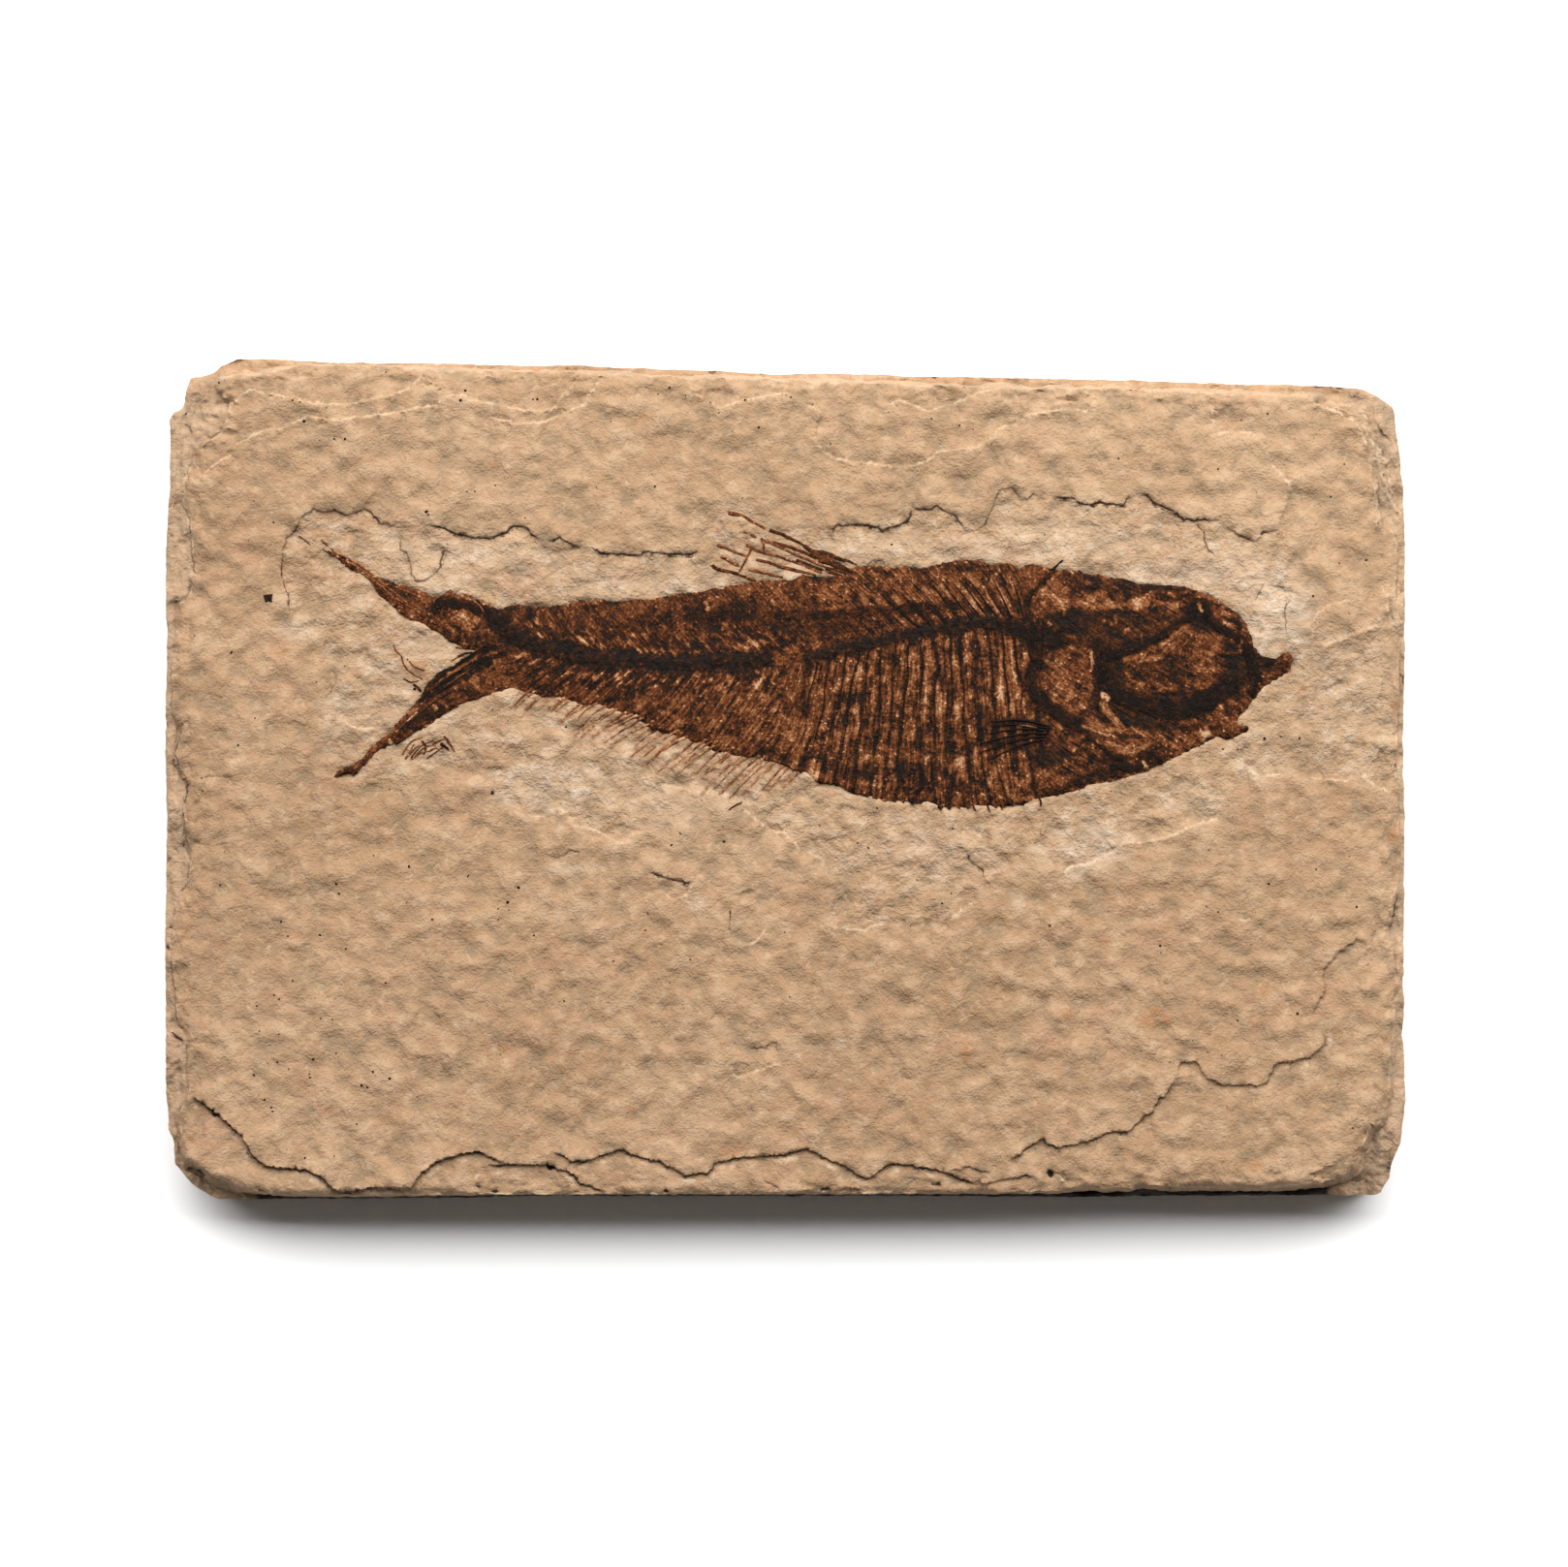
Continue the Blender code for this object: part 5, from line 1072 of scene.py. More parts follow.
def bone_material(name, flowing):
    """Mineralised bone and skin film: tones from black over red-brown to pale, with a fibrous grain."""
    material, shader, graph, where = new_material(name)
    tone = graph.attribute("tone")
    fine = graph.between(graph.grain(where, 0.00030, 2, 0.6), 0.3, 0.7)
    blotch = graph.between(graph.grain(where, 0.0013, 3, 0.6), 0.3, 0.7)
    warp = graph.add("ShaderNodeTexNoise", {}, {"Vector": where, "Scale": 900.0}, output=1)
    flakes = graph.add("ShaderNodeVectorMath", {"operation": "MULTIPLY_ADD"},
                       {0: warp, 1: (0.0012, 0.0012, 0.0012), 2: where})
    flake = graph.add("ShaderNodeTexVoronoi", {}, {"Vector": flakes, "Scale": 1100.0}, output=1)
    # Painted glints: sparse pale specks in the tone
    glint = graph.between(graph.grain(where, 0.00030, 0), 0.74, 0.80)
    swing = graph.between(tone, 0.0, 0.34) * 0.75 + 0.25
    speckle = (fine - 0.5) * 0.38 + (blotch - 0.5) * 0.34 + (flake - 0.5) * 0.36 + glint * 0.32
    relief = fine * 0.6 + blotch * 0.8 + flake * 0.5
    if flowing:
        flow = graph.add("ShaderNodeAttribute", {"attribute_name": "flow"}, output=1)
        fibre = graph.between(graph.grain(flow, 1.0, 3, 0.65), 0.3, 0.7)
        amount = graph.attribute("fibrous")
        speckle = speckle + amount * (fibre - 0.5)
        relief = relief + amount * fibre * 1.6
    varied = tone + swing * speckle
    ramp = graph.add("ShaderNodeValToRGB", {"stops": BONE_TONES}, {"Fac": varied})
    graph.feed(ramp, shader.inputs["Base Color"])
    bump = graph.add("ShaderNodeBump", {}, {"Strength": 0.6, "Distance": 0.00022, "Height": relief})
    graph.feed(bump, shader.inputs["Normal"])
    gloss = graph.between(varied, 0.0, 0.4) * 0.35 + 0.5
    graph.feed(gloss, shader.inputs["Roughness"])
    shader.inputs["Specular IOR Level"].default_value = 0.07
    return material


def fill(outline, spots):
    """Triangles between an outline and the spots in it, as points and faces."""
    count = len(outline)
    edges = [(i, (i + 1) % count) for i in range(count)]
    cloud = [Vector(spot) for spot in np.vstack((outline, spots))]
    flat, _, faces, *_ = delaunay_2d_cdt(cloud, edges, [], 1, TINY)
    flat = np.array([tuple(spot) for spot in flat])
    faces = np.array([face[:3] for face in faces])
    rim_only = np.flatnonzero((faces < count).all(axis=1))
    doubtful = inside(flat[faces[rim_only]].mean(axis=1), outline)
    faces = np.delete(faces, rim_only[~doubtful], axis=0)
    return flat, faces


def new_piece(name, points, faces, material, values, sharp=None):
    """A mesh piece of the slab's body, with its float attributes."""
    mesh = bpy.data.meshes.new(name)
    mesh.from_pydata(points.tolist(), [], [tuple(face) for face in faces])
    shape = bmesh.new()
    shape.from_mesh(mesh)
    bmesh.ops.recalc_face_normals(shape, faces=shape.faces[:])
    shape.to_mesh(mesh)
    shape.free()
    for key, numbers in values.items():
        kind = "FLOAT_VECTOR" if np.ndim(numbers) == 2 else "FLOAT"
        field = "vector" if np.ndim(numbers) == 2 else "value"
        layer = mesh.attributes.new(key, kind, "POINT")
        layer.data.foreach_set(field, np.ravel(numbers).astype(np.float32))
    mesh.materials.append(material)
    mesh.shade_smooth()
    if sharp:
        mesh.set_sharp_from_angle(angle=math.radians(sharp))
    piece = bpy.data.objects.new(name, mesh)
    bpy.context.scene.collection.objects.link(piece)
    return piece


def close_body(flat, faces, tops, rings, uneven=False):
    """Points and faces of a closed body: a top, wall rings below its rim, and a floor."""
    count = len(rings[0][0])
    points = [np.column_stack((flat, tops))]
    walls = [faces]
    upper = np.arange(count)
    start = len(flat)
    for spots, level in rings:
        lower = start + np.arange(count)
        points.append(np.column_stack((spots, np.broadcast_to(level, count))))
        after = np.roll(np.arange(count), -1)
        walls.append(np.column_stack((upper, lower, lower[after])))
        walls.append(np.column_stack((upper, lower[after], upper[after])))
        upper, start = lower, start + count
    last_spots, last_level = rings[-1]
    spots = settled(lattice(last_spots, 11, 12), last_spots, 5) if uneven else np.zeros((0, 2))
    floor_flat, floor_faces = fill(last_spots, spots)
    extra = floor_flat[count:]
    levels = float(np.mean(last_level)) + floor_relief(extra, last_spots)
    points.append(np.column_stack((extra, levels)))
    index = np.concatenate((upper, start + np.arange(len(extra))))
    walls.append(index[floor_faces][:, ::-1])
    return np.vstack(points) * (PIXEL, PIXEL, MM), walls


def floor_relief(spots, edge):
    """How far a body's underside stands up from its lowest level: split rock, not sawn flat."""
    if not len(spots):
        return np.zeros(0)
    relief = 0.16 + 0.22 * wave(spots, (60, 40), 33) + 0.06 * wave(spots, 14, 35)
    return np.clip(relief, 0, 0.5) * smooth_step(gap_to(spots, edge) / 20)


def lattice(outline, spacing, seed):
    """A slightly shaken triangular grid of spots that covers an outline's box."""
    low, high = outline.min(axis=0), outline.max(axis=0)
    rows = np.arange(low[1], high[1], spacing * math.sqrt(3) / 2)
    columns = np.arange(low[0], high[0], spacing)
    x, y = np.meshgrid(columns, rows)
    x = x + (np.arange(len(rows)) % 2)[:, None] * spacing / 2
    shake = np.random.default_rng(seed).uniform(-0.22, 0.22, (x.size, 2)) * spacing
    return np.column_stack((x.ravel(), y.ravel())) + shake


def graded_spots(outline, lines):
    """Spots over the face, closer together beside the given lines."""
    chosen = []
    for level, spacing in enumerate(FACE_SPACING):
        spots = lattice(outline, spacing, level)
        gap = np.maximum(gap_to(spots, outline) - RIM_BAND, FACE_BANDS[1] + 1.2)
        for line in lines:
            rows, near, _, _ = beside(spots, line, FACE_BANDS[0] + spacing)
            gap[rows] = np.minimum(gap[rows], near)
        outer = FACE_BANDS[level - 1] if level else np.inf
        inner = FACE_BANDS[level] + 0.4 * spacing if level < 2 else -1
        spots = spots[(gap < outer) & (gap >= inner)]
        chosen.append(spots)
    return np.vstack(chosen)


def chip_rim(flat, rim, tops, masks):
    """Flake the upper beds' rim in layers and paint a pale band along it: newly broken rock, and painted
    highlight of the lit rim.
    """
    gap = gap_to(flat, rim)
    broken_edge_highlight = np.clip(0.9 + 1.6 * wave(flat, 18, 48, 2), 0.2, 1.2) * np.exp(-gap / 1.8)
    masks["fresh"] = np.maximum(masks["fresh"], 0.8 * broken_edge_highlight)
    calm = 1 - 0.6 * smooth_step((FRONT_RIM - flat[:, 1]) / 20)
    for layer, (depth, reach) in enumerate(RIM_FLAKES):
        edge = reach * calm * np.clip(0.6 + 2.4 * along_sides(flat, 52, 19, 45 + 3 * layer), 0, 2)
        tops -= depth * smooth_step((edge - gap) / 1.6)
    tops -= 0.16 * np.exp(-gap / 2.2)


def split_wall(rim, start):
    """Rings of the upper beds' wall, from a start level at its rim down into the lower beds."""
    _, drop = face_drop(rim)
    foot = FACE_HEIGHT + lumps(rim) - drop - BED_OVERLAP
    lean = np.clip(0.6 + 0.8 * wave(rim, 30, 50, 2), 0.1, 1.1) * drop * MM / PIXEL
    lean = np.minimum(lean, 0.6 * gap_to(rim, SLAB_EDGE))
    rings = []
    for index, share in enumerate(np.linspace(0.1, 1, 10)):
        tread = (math.floor(share * 3) + smooth_step(share * 6 % 2 - 1)) / 3
        out = lean * tread + 0.7 * wave(rim, 12, 70 + index, 2)
        rings.append((shifted(rim, out, loop=True), start - share * (start - foot)))
    return rings


def build_upper_bed(material):
    """The upper beds of the slab, whose face shows the fish."""
    rim = resample(FACE_RIM, WALL_SPACING * 0.6)
    rim = ragged(rim, 40, 14, 1.6)
    lines = [line for *_, line in LEDGE_LINES] + anal_lines()
    lines += [up(points) for *_, points in DORSAL_RAYS]
    spots = settled(graded_spots(rim, lines), rim, 1.2)
    under_fish = inside(spots, FISH_EDGE) & (gap_to(spots, FISH_EDGE) > 6)
    thinned = np.random.default_rng(4).random(len(spots)) < 0.12
    flat, faces = fill(rim, spots[~under_fish | thinned])
    tops, masks = rock(flat)
    chip_rim(flat, rim, tops, masks)
    tops -= 0.7 * smooth_step((depth_inside(flat, FISH_EDGE) - 0.5) / 4)
    points, walls = close_body(flat, faces, tops, split_wall(rim, tops[:len(rim)]))
    masks["chalk"] = 0.5 * stains(flat, CHALK, 60)
    masks["rust"] = 0.8 * stains(flat, RUST, 61)
    masks["film"] = fin_film(flat)
    wall = pad(np.zeros(len(flat)), len(points), 1.0)
    values = {name: pad(mask, len(points)) for name, mask in masks.items()}
    # Painted highlight on the rear risers, which face the light
    risers = smooth_step((points[:, 1] / PIXEL - REAR_EDGE) / 8) * wall
    values["fresh"] = np.maximum(values["fresh"], 0.5 * risers)
    values["wall"] = wall - risers
    return new_piece("upper_bed", points, np.vstack(walls), material, values, 60)


def pad(values, total, filler=0.0):
    """The values, continued with a filler up to the total."""
    return np.concatenate((values, np.full(total - len(values), filler)))


def ledge_drop(spots):
    """How far the lower beds' top lies below the face, sloping down outside the upper beds."""
    to_face, drop = face_drop(spots)
    to_edge, _, _ = measure(spots, closed(SLAB_EDGE))
    slope = 1 + FACE_SLOPE * to_face / np.maximum(to_face + to_edge, TINY)
    return np.where(inside(spots, FACE_RIM), drop, drop * slope)


def seamed_wall(rim, start):
    """Rings of the lower beds' wall, from a start level down: seams, chips and set-back layers."""
    heights, insets = np.array(SEAMS)[::-1].T
    wear = 1 + 1.2 * wave(rim, 70, 90)
    wander = 0.9 * wave(rim, 150, 91, 2)
    rings = []
    for index, level in enumerate([*np.arange(10.6, 0.4, -0.30), 0.3, 0.12, 0.0]):
        split = level + wander
        inset = np.interp(split, heights, insets)
        bed = np.floor(split / 0.75)
        chips = 0.9 * wave(rim, 46, 100 + 3.7 * bed, 2) + 0.5 * wave(rim, 13, 150 + 1.1 * level, 3)
        inward = np.maximum(inset * wear + chips + 0.14, 0.0) * MM / PIXEL
        rings.append((shifted(rim, -inward, loop=True), np.minimum(level, start - 0.04 - 0.02 * index)))
    return rings


def build_lower_bed(material):
    """The lower beds: a rough ledge round the upper ones, and split walls down to the resting face."""
    rim = resample(SLAB_EDGE, WALL_SPACING)
    rim = ragged(rim, 80, 16, 0.9)
    spots = lattice(rim, 1.8, 9)
    coarse = lattice(rim, 14, 10)
    spots = spots[~inside(spots, FACE_RIM) | (gap_to(spots, FACE_RIM) < 5)]
    coarse = coarse[inside(coarse, FACE_RIM) & (gap_to(coarse, FACE_RIM) > 12)]
    flat, faces = fill(rim, settled(np.vstack((spots, coarse)), rim, 1.3))
    tops, masks = rock(flat)
    sides = smooth_step((np.abs(flat[:, 0]) - LEDGE_ENDS) / 40)
    # Painted shade at the foot of the upper beds' wall, weaker along the side strips
    foot = np.exp(-gap_to(flat, FACE_RIM) / 2.5)
    masks["hollow"] = masks["hollow"] * (1 - 0.6 * sides) + (1.6 - sides) * foot
    # Painted light: the side strips are lightened with chalk colour against their shade
    masks["chalk"] = 0.2 * sides
    tops = terraced(tops - ledge_drop(flat) + 0.8 * along_sides(flat, 64, 17, 92), 0.28)
    tops -= 0.25 * np.exp(-gap_to(flat, rim) / 2.5)
    points, walls = close_body(flat, faces, tops, seamed_wall(rim, tops[:len(rim)]), uneven=True)
    wall = pad(np.zeros(len(flat)), len(points), 1.0)
    values = {name: pad(mask, len(points)) for name, mask in masks.items()}
    across, upward = (points[:, :2] / PIXEL).T
    # Painted shade: the strip in front of the face's edge is darkened near black, less at its right end
    shaded = smooth_step((FRONT_EDGE - upward) / 6) * band(across, *FRONT_SHADE)
    shaded *= 1 - 0.45 * smooth_step((across - 170) / 60)
    values["pit"] = np.maximum(values["pit"], shaded * (1 - wall))
    values["rust"] = 0.26 * smooth_step((upward - REAR_EDGE) / 10) * (1 - wall)
    values["wall"] = wall
    return new_piece("lower_bed", points, np.vstack(walls), material, values, 60)


def fin_film(spots):
    """Faint brown film on the rock between the fin rays."""
    mask = np.zeros(len(spots))
    broken = wave(spots, 6, 130)
    rays = [(line, 6, 2.6, 0.66, 0.9) for line in anal_lines()]
    rays += [(up(points), 7, 2.4, 0.5, 0.8) for *_, points in DORSAL_RAYS + STRAYS]
    for line, reach, width, strength, evenness in rays:
        rows, gap, _, _ = beside(spots, line, reach)
        film = strength * np.exp(-(gap / width) ** 2) * (evenness + broken[rows])
        mask[rows] = np.maximum(mask[rows], film)
    return np.clip(mask, 0, 0.7)


def anal_lines():
    """The anal fin's rays, from the belly down towards the tail."""
    lines = []
    random = np.random.default_rng(21)
    roots = np.linspace(ANAL_STATIONS[0], ANAL_STATIONS[-1], ANAL_COUNT)
    for x in roots + random.uniform(-2.2, 2.2, ANAL_COUNT):
        y = np.interp(x, ANAL_STATIONS, ANAL_BELLY) - 3
        length = np.interp(x, ANAL_STATIONS, ANAL_LENGTH) * random.uniform(0.6, 1.12)
        angle = math.radians(np.interp(x, ANAL_STATIONS, ANAL_ANGLE) + random.uniform(-5, 5))
        way = np.array([-math.cos(angle), math.sin(angle)])
        root = np.array([x, y])
        sag = np.array([0, random.uniform(-0.6, 2.6)])
        line = curve([root, root + way * length / 2 - sag, root + way * length])
        if random.random() < ANAL_BROKEN:
            lines.extend((line[:5], line[5:]))
        else:
            lines.append(line)
    return [line for line in lines if len(line) > 1]


def stations(spots):
    """Where each spot's rib or spine leaves the backbone, and how far out on it the spot lies."""
    backbone_y = np.interp(spots[:, 0], *SPINE_LINE.T)
    way = spots[:, 1] - backbone_y
    at = spots[:, 0] + SLAB_CENTRE[0]
    back = np.interp(at, LEAN_STATIONS, BACK_LEAN)
    belly = np.interp(at, LEAN_STATIONS, BELLY_LEAN)
    lean = np.where(way > 0, back, belly)
    return np.column_stack((at + lean * np.abs(way), way))


def rib_wander(places):
    """How far the ribs stray from their even spacing."""
    return 5.5 * wave(places, (22, 55), 158, 2)


def ridge_rows(along, gap):
    """Chevron rows of the vertebrae, from -1 to 1."""
    return np.cos(2 * math.pi * (along - 0.8 * gap) / RIB_SPACING)


def film_tone(spots, torn, broken):
    """Tone of the skin film, with its listed patches."""
    crumbs = wave(spots, 4.2, 148, 2)
    tone = 0.33 + 0.20 * wave(spots, (26, 15), 150) + 0.16 * broken + 0.16 * crumbs
    for x, y, wide, tall, tilt, value, strength in PATCHES:
        offset = torn - up((x, y))
        turn = math.radians(-tilt)
        along = offset[:, 0] * math.cos(turn) + offset[:, 1] * math.sin(turn)
        upward = offset[:, 1] * math.cos(turn) - offset[:, 0] * math.sin(turn)
        reach = np.hypot(along / wide, upward / tall)
        mask = strength * smooth_step((1.3 - reach) * 2.0) * np.clip(0.95 + 0.5 * broken, 0.4, 1)
        tone += (value + 0.08 * crumbs - tone) * mask
    return tone


def rows_tone(spots, places, body, fleck):
    """What the rows of scales, ribs and spines add to the tone; places are station and way."""
    across = spots[:, 0] + SLAB_CENTRE[0]
    station, way = places.T
    rows = 0.5 + 0.5 * np.cos(2 * math.pi * (station - 7) / RIB_SPACING)
    scaled = body * smooth_step((850 - across) / 60) * band(np.abs(way), 7, 38, 4, 16)
    added = scaled * (0.46 * smooth_step(2.0 * fleck + 0.5 * rows - 0.25) - 0.14)
    ribbed = band(station, *RIB_REACH) * (way < -6)
    phase = np.cos(2 * math.pi * (station + rib_wander(places) - RIB_PHASE) / RIB_SPACING)
    weight = np.clip(0.9 + 1.1 * wave(places, (RIB_SPACING, 34), 159, 2), 0.2, 1.5)
    pale = smooth_step(0.5 + 1.5 * wave(places, (RIB_SPACING * 0.8, 15), 160, 3))
    pale *= smooth_step(0.55 + 1.8 * wave(spots, (44, 20), 161, 2)) * band(-way, 10, 162, 12, 24)
    added += ribbed * 0.31 * pale * smooth_step(0.3 - 1.1 * phase)
    added -= ribbed * 0.24 * weight * np.clip(phase, 0, 1) ** 3
    spined = band(station, *SPINE_REACH) * band(way, 6, 52, 5, 12)
    phase = np.cos(2 * math.pi * (station - SPINE_PHASE) / SPINE_SPACING)
    added += spined * 0.20 * (np.clip(-phase, 0, 1) - np.clip(phase, 0, 1) ** 4)
    belly = band(across, *BELLY_REACH) * smooth_step((-way - 16) / 10)
    return added + belly * 0.14 * wave(places, (3.2, 40), 165, 2)


def fish_tone(spots):
    """Tone of the fish's film and bones, how high the bones stand, and the flow of the fibres."""
    torn = ragged(ragged(spots, 140, 18, 1.8), 144, 6, 1.1)
    broken = wave(spots, 9, 146)
    places = stations(spots)
    station, way = places.T
    across = spots[:, 0] + SLAB_CENTRE[0]
    body = band(across, *BODY_REACH)
    fleck = wave(places, (5.5, 7.5), 155, 2)
    tone = film_tone(spots, torn, broken) + rows_tone(spots, places, body, fleck)
    plain = (way > 0) * smooth_step((900 - across) / 60)
    fibrous = 0.20 + (0.42 - 0.22 * plain) * body * smooth_step((np.abs(way) - 6) / 6)
    rise = 0.02 * fleck * body
    flow = np.column_stack((station / 2.6, way / 26, np.where(way > 0, 0, 9.5)))
    head = across > HEAD_START
    fibrous[head] = 0.46
    slant = (0.85 * across - 0.5 * way, 0.5 * across + 0.85 * way, np.full(len(spots), 700))
    flow[head] = (np.column_stack(slant) / (22, 3.2, 30))[head]
    lay_bones(torn, broken, tone, rise, flow, fibrous)
    lay_backbone(torn, broken, across, tone, rise)
    return tone, rise, flow, fibrous


def lay_bones(torn, broken, tone, rise, flow, fibrous):
    """Draw the listed bones into the fish's tone, relief and fibres."""
    for half, high, value, strength, points in BONES:
        rows, gap, side, along = beside(torn, curve(points), half * 1.9)
        shape = np.clip(1 - (gap / (half * 1.2)) ** 2, 0, 1)
        whole = np.clip(0.95 + 0.6 * broken[rows], 0.35, 1)
        mask = strength * whole * smooth_step((1.5 - gap / half) * 1.25)
        ridges = wave(np.column_stack((along, side * gap)), (16, 1.7), 170 + half, 2) if half > 2 else 0
        tone[rows] += (value + 0.12 * ridges - tone[rows]) * mask
        if half > 2:
            fibrous[rows] = np.maximum(fibrous[rows], 0.52 * mask)
            strong = rows[mask > 0.4]
            grain = np.column_stack((along / 11, side * gap / 1.3, np.full(len(rows), 30 + 3 * half)))
            flow[strong] = grain[mask > 0.4]
        bone = BONE_RELIEF * high * whole * np.sqrt(shape) + 0.04 * ridges * mask
        rise[rows] = np.maximum(rise[rows], bone)


def lay_backbone(torn, broken, across, tone, rise):
    """Draw the rows of vertebrae into the fish's tone and relief."""
    for points in (BACKBONE[:9], BACKBONE[9:]):
        rows, gap, side, along = beside(torn, curve(points), 17)
        ring = ridge_rows(along, gap)
        wide = 7.5 + 3 * smooth_step((SPINE_THIN - across[rows]) / 60)
        column = smooth_step((wide + 5 * broken[rows] + 2.5 * np.abs(ring) - gap) / 4)
        ridges = wave(np.column_stack((along - 0.8 * gap, side * gap)), (3.5, 6), 190, 2)
        tone[rows] += (0.07 + 0.12 * ridges + 0.05 * ring - tone[rows]) * 0.9 * column
        bone = (0.08 + 0.04 * ring + 0.03 * ridges) * smooth_step((9 - gap) / 6)
        rise[rows] = np.maximum(rise[rows], bone)


def fish_height(spots):
    """Height of the fish's surface over the rock, without its bones."""
    gap = gap_to(spots, FISH_EDGE)
    return broad_rock(spots) + RIM_RISE + BODY_RISE * (1 - np.exp(-gap / BODY_RELAX))


def build_fish(material):
    """The fish: its skin film and bones in relief, with a ragged edge that sinks in the rock."""
    rim = resample(FISH_EDGE, FISH_SPACING)
    rim = ragged(ragged(rim, 170, 9, 1.5), 172, 3, 1.2)
    middle, reach, spacing, length = SCUTES
    below = rim[:, 1] < np.interp(rim[:, 0], *SPINE_LINE.T) - 60
    toothed = below & (abs(rim[:, 0] - middle) < reach)
    rim[:, 1] -= toothed * length * (rim[:, 0] / spacing % 1) ** 2
    flat, faces = fill(rim, settled(lattice(rim, FISH_SPACING, 14), rim, 0.7))
    tone, rise, flow, fibrous = fish_tone(flat)
    gap = gap_to(flat, rim)
    edge = smooth_step(gap / 5)
    grain = 0.045 * wave(flat, 7, 180) + 0.03 * wave(flat, 3, 181, 2)
    tops = fish_height(flat) + (rise + grain) * edge - 0.08 * np.exp(-gap / 1.5)
    rings = [(rim, fish_height(rim) - depth) for depth in (0.3, 0.75)]
    points, walls = close_body(flat, faces, tops, rings)
    total = len(points)
    values = {"tone": pad(tone, total, 0.3), "fibrous": pad(fibrous, total),
              "flow": np.vstack((flow, np.zeros((total - len(flow), 3))))}
    return new_piece("fish_body", points, np.vstack(walls), material, values)


def start_tree(name, **sockets):
    """A Geometry Nodes tree with named inputs: its graph, and the inputs in their order."""
    tree = bpy.data.node_groups.new(name, "GeometryNodeTree")
    for socket, kind in sockets.items():
        tree.interface.new_socket(socket, in_out="INPUT", socket_type="NodeSocket" + kind)
    tree.interface.new_socket("Result", in_out="OUTPUT", socket_type="NodeSocketGeometry")
    graph = Graph(tree)
    given = tree.nodes.new("NodeGroupInput")
    return graph, *[Value(graph, given.outputs[name]) for name in sockets]


def end_tree(graph, shapes, finish):
    """Realize the shapes, give them their material and hand them out of the tree."""
    shapes = graph.add("GeometryNodeRealizeInstances", {}, {"Geometry": shapes})
    shapes = graph.add("GeometryNodeSetMaterial", {}, {"Geometry": shapes, "Material": finish})
    graph.feed(shapes, graph.tree.nodes.new("NodeGroupOutput").inputs[0])
    return graph.tree


def own_width(graph):
    """The half width that a guide carries at each of its points."""
    return graph.add("GeometryNodeInputNamedAttribute", {"data_type": "FLOAT"}, {"Name": "half_width"})


def at_random(graph, low, high, seed):
    """A random vector for each point."""
    inputs = {0: low, 1: high, "Seed": seed}
    return graph.add("FunctionNodeRandomValue", {"data_type": "FLOAT_VECTOR"}, inputs)


def rods_tree():
    """Bones as rods: every guide line swept with a round section of its own radius."""
    graph, guides, thickness, sides, wander, seed, finish = start_tree(
        "bone_rods", Guides="Geometry", Thickness="Float", Sides="Int", Wander="Float", Seed="Int",
        Finish="Material")
    lines = graph.add("GeometryNodeMeshToCurve", {}, {0: guides})
    shake = at_random(graph, (-1, -1, -0.3), (1, 1, 0.3), seed)
    shift = graph.add("ShaderNodeVectorMath", {"operation": "SCALE"}, {0: shake, "Scale": wander})
    lines = graph.add("GeometryNodeSetPosition", {}, {"Geometry": lines, "Offset": shift})
    lines = graph.add("GeometryNodeSetCurveNormal", {"mode": "Z_UP"}, {"Curve": lines})
    section = graph.add("GeometryNodeCurvePrimitiveCircle", {"mode": "RADIUS"},
                        {"Resolution": sides, "Radius": 1.0})
    width = own_width(graph) * thickness
    rods = graph.add("GeometryNodeCurveToMesh", {},
                     {"Curve": lines, "Profile Curve": section, "Scale": width, "Fill Caps": True})
    rods = graph.add("GeometryNodeSetShadeSmooth", {}, {"Geometry": rods})
    return end_tree(graph, rods, finish)


def through_tree(name, guide, tree, settings):
    """Run a guide mesh through a Geometry Nodes tree and keep the result as a plain mesh."""
    modifier = guide.modifiers.new("nodes", "NODES")
    modifier.node_group = tree
    for item in tree.interface.items_tree:
        if item.in_out == "INPUT" and item.name in settings:
            modifier[item.identifier] = settings[item.name]
    seen = guide.evaluated_get(bpy.context.evaluated_depsgraph_get())
    mesh = bpy.data.meshes.new_from_object(seen)
    guide.modifiers.remove(modifier)
    bpy.data.objects.remove(guide)
    mesh.name = name
    piece = bpy.data.objects.new(name, mesh)
    bpy.context.scene.collection.objects.link(piece)
    return piece


def guide_mesh(name, lines):
    """Edges along lines of metres, with a radius (metres) and a tone at every point."""
    points, edges, radii, tones = [], [], [], []
    for line, radius, tone in lines:
        first = len(points)
        points.extend(line.tolist())
        edges.extend((first + i, first + i + 1) for i in range(len(line) - 1))
        radii.extend(np.broadcast_to(radius, len(line)))
        tones.extend(np.broadcast_to(tone, len(line)))
    mesh = bpy.data.meshes.new(name)
    mesh.from_pydata(points, edges, [])
    for key, numbers in (("half_width", radii), ("tone", tones)):
        layer = mesh.attributes.new(key, "FLOAT", "POINT")
        layer.data.foreach_set("value", np.array(numbers, np.float32))
    guide = bpy.data.objects.new(name, mesh)
    bpy.context.scene.collection.objects.link(guide)
    return guide


def laid(line, height):
    """A line of pixels laid on a surface, in metres."""
    return np.column_stack((line * PIXEL, height * MM))


def tapered(count, radius, tip):
    """Radii that thin out towards the end, in metres."""
    return radius * PIXEL * (1 + (tip - 1) * np.linspace(0, 1, count) ** 1.5)


def leaning(station, ways, leans, stretch=1.0, stray=0.0):
    """A line from the backbone at a station, leaning towards the tail; ways run down the picture."""
    lean = np.interp(station, LEAN_STATIONS, leans)
    foot = SLAB_CENTRE[1] - np.interp(station - SLAB_CENTRE[0], *SPINE_LINE.T)
    return up(np.column_stack((station - lean * np.abs(ways) - stray, foot + ways * stretch)))


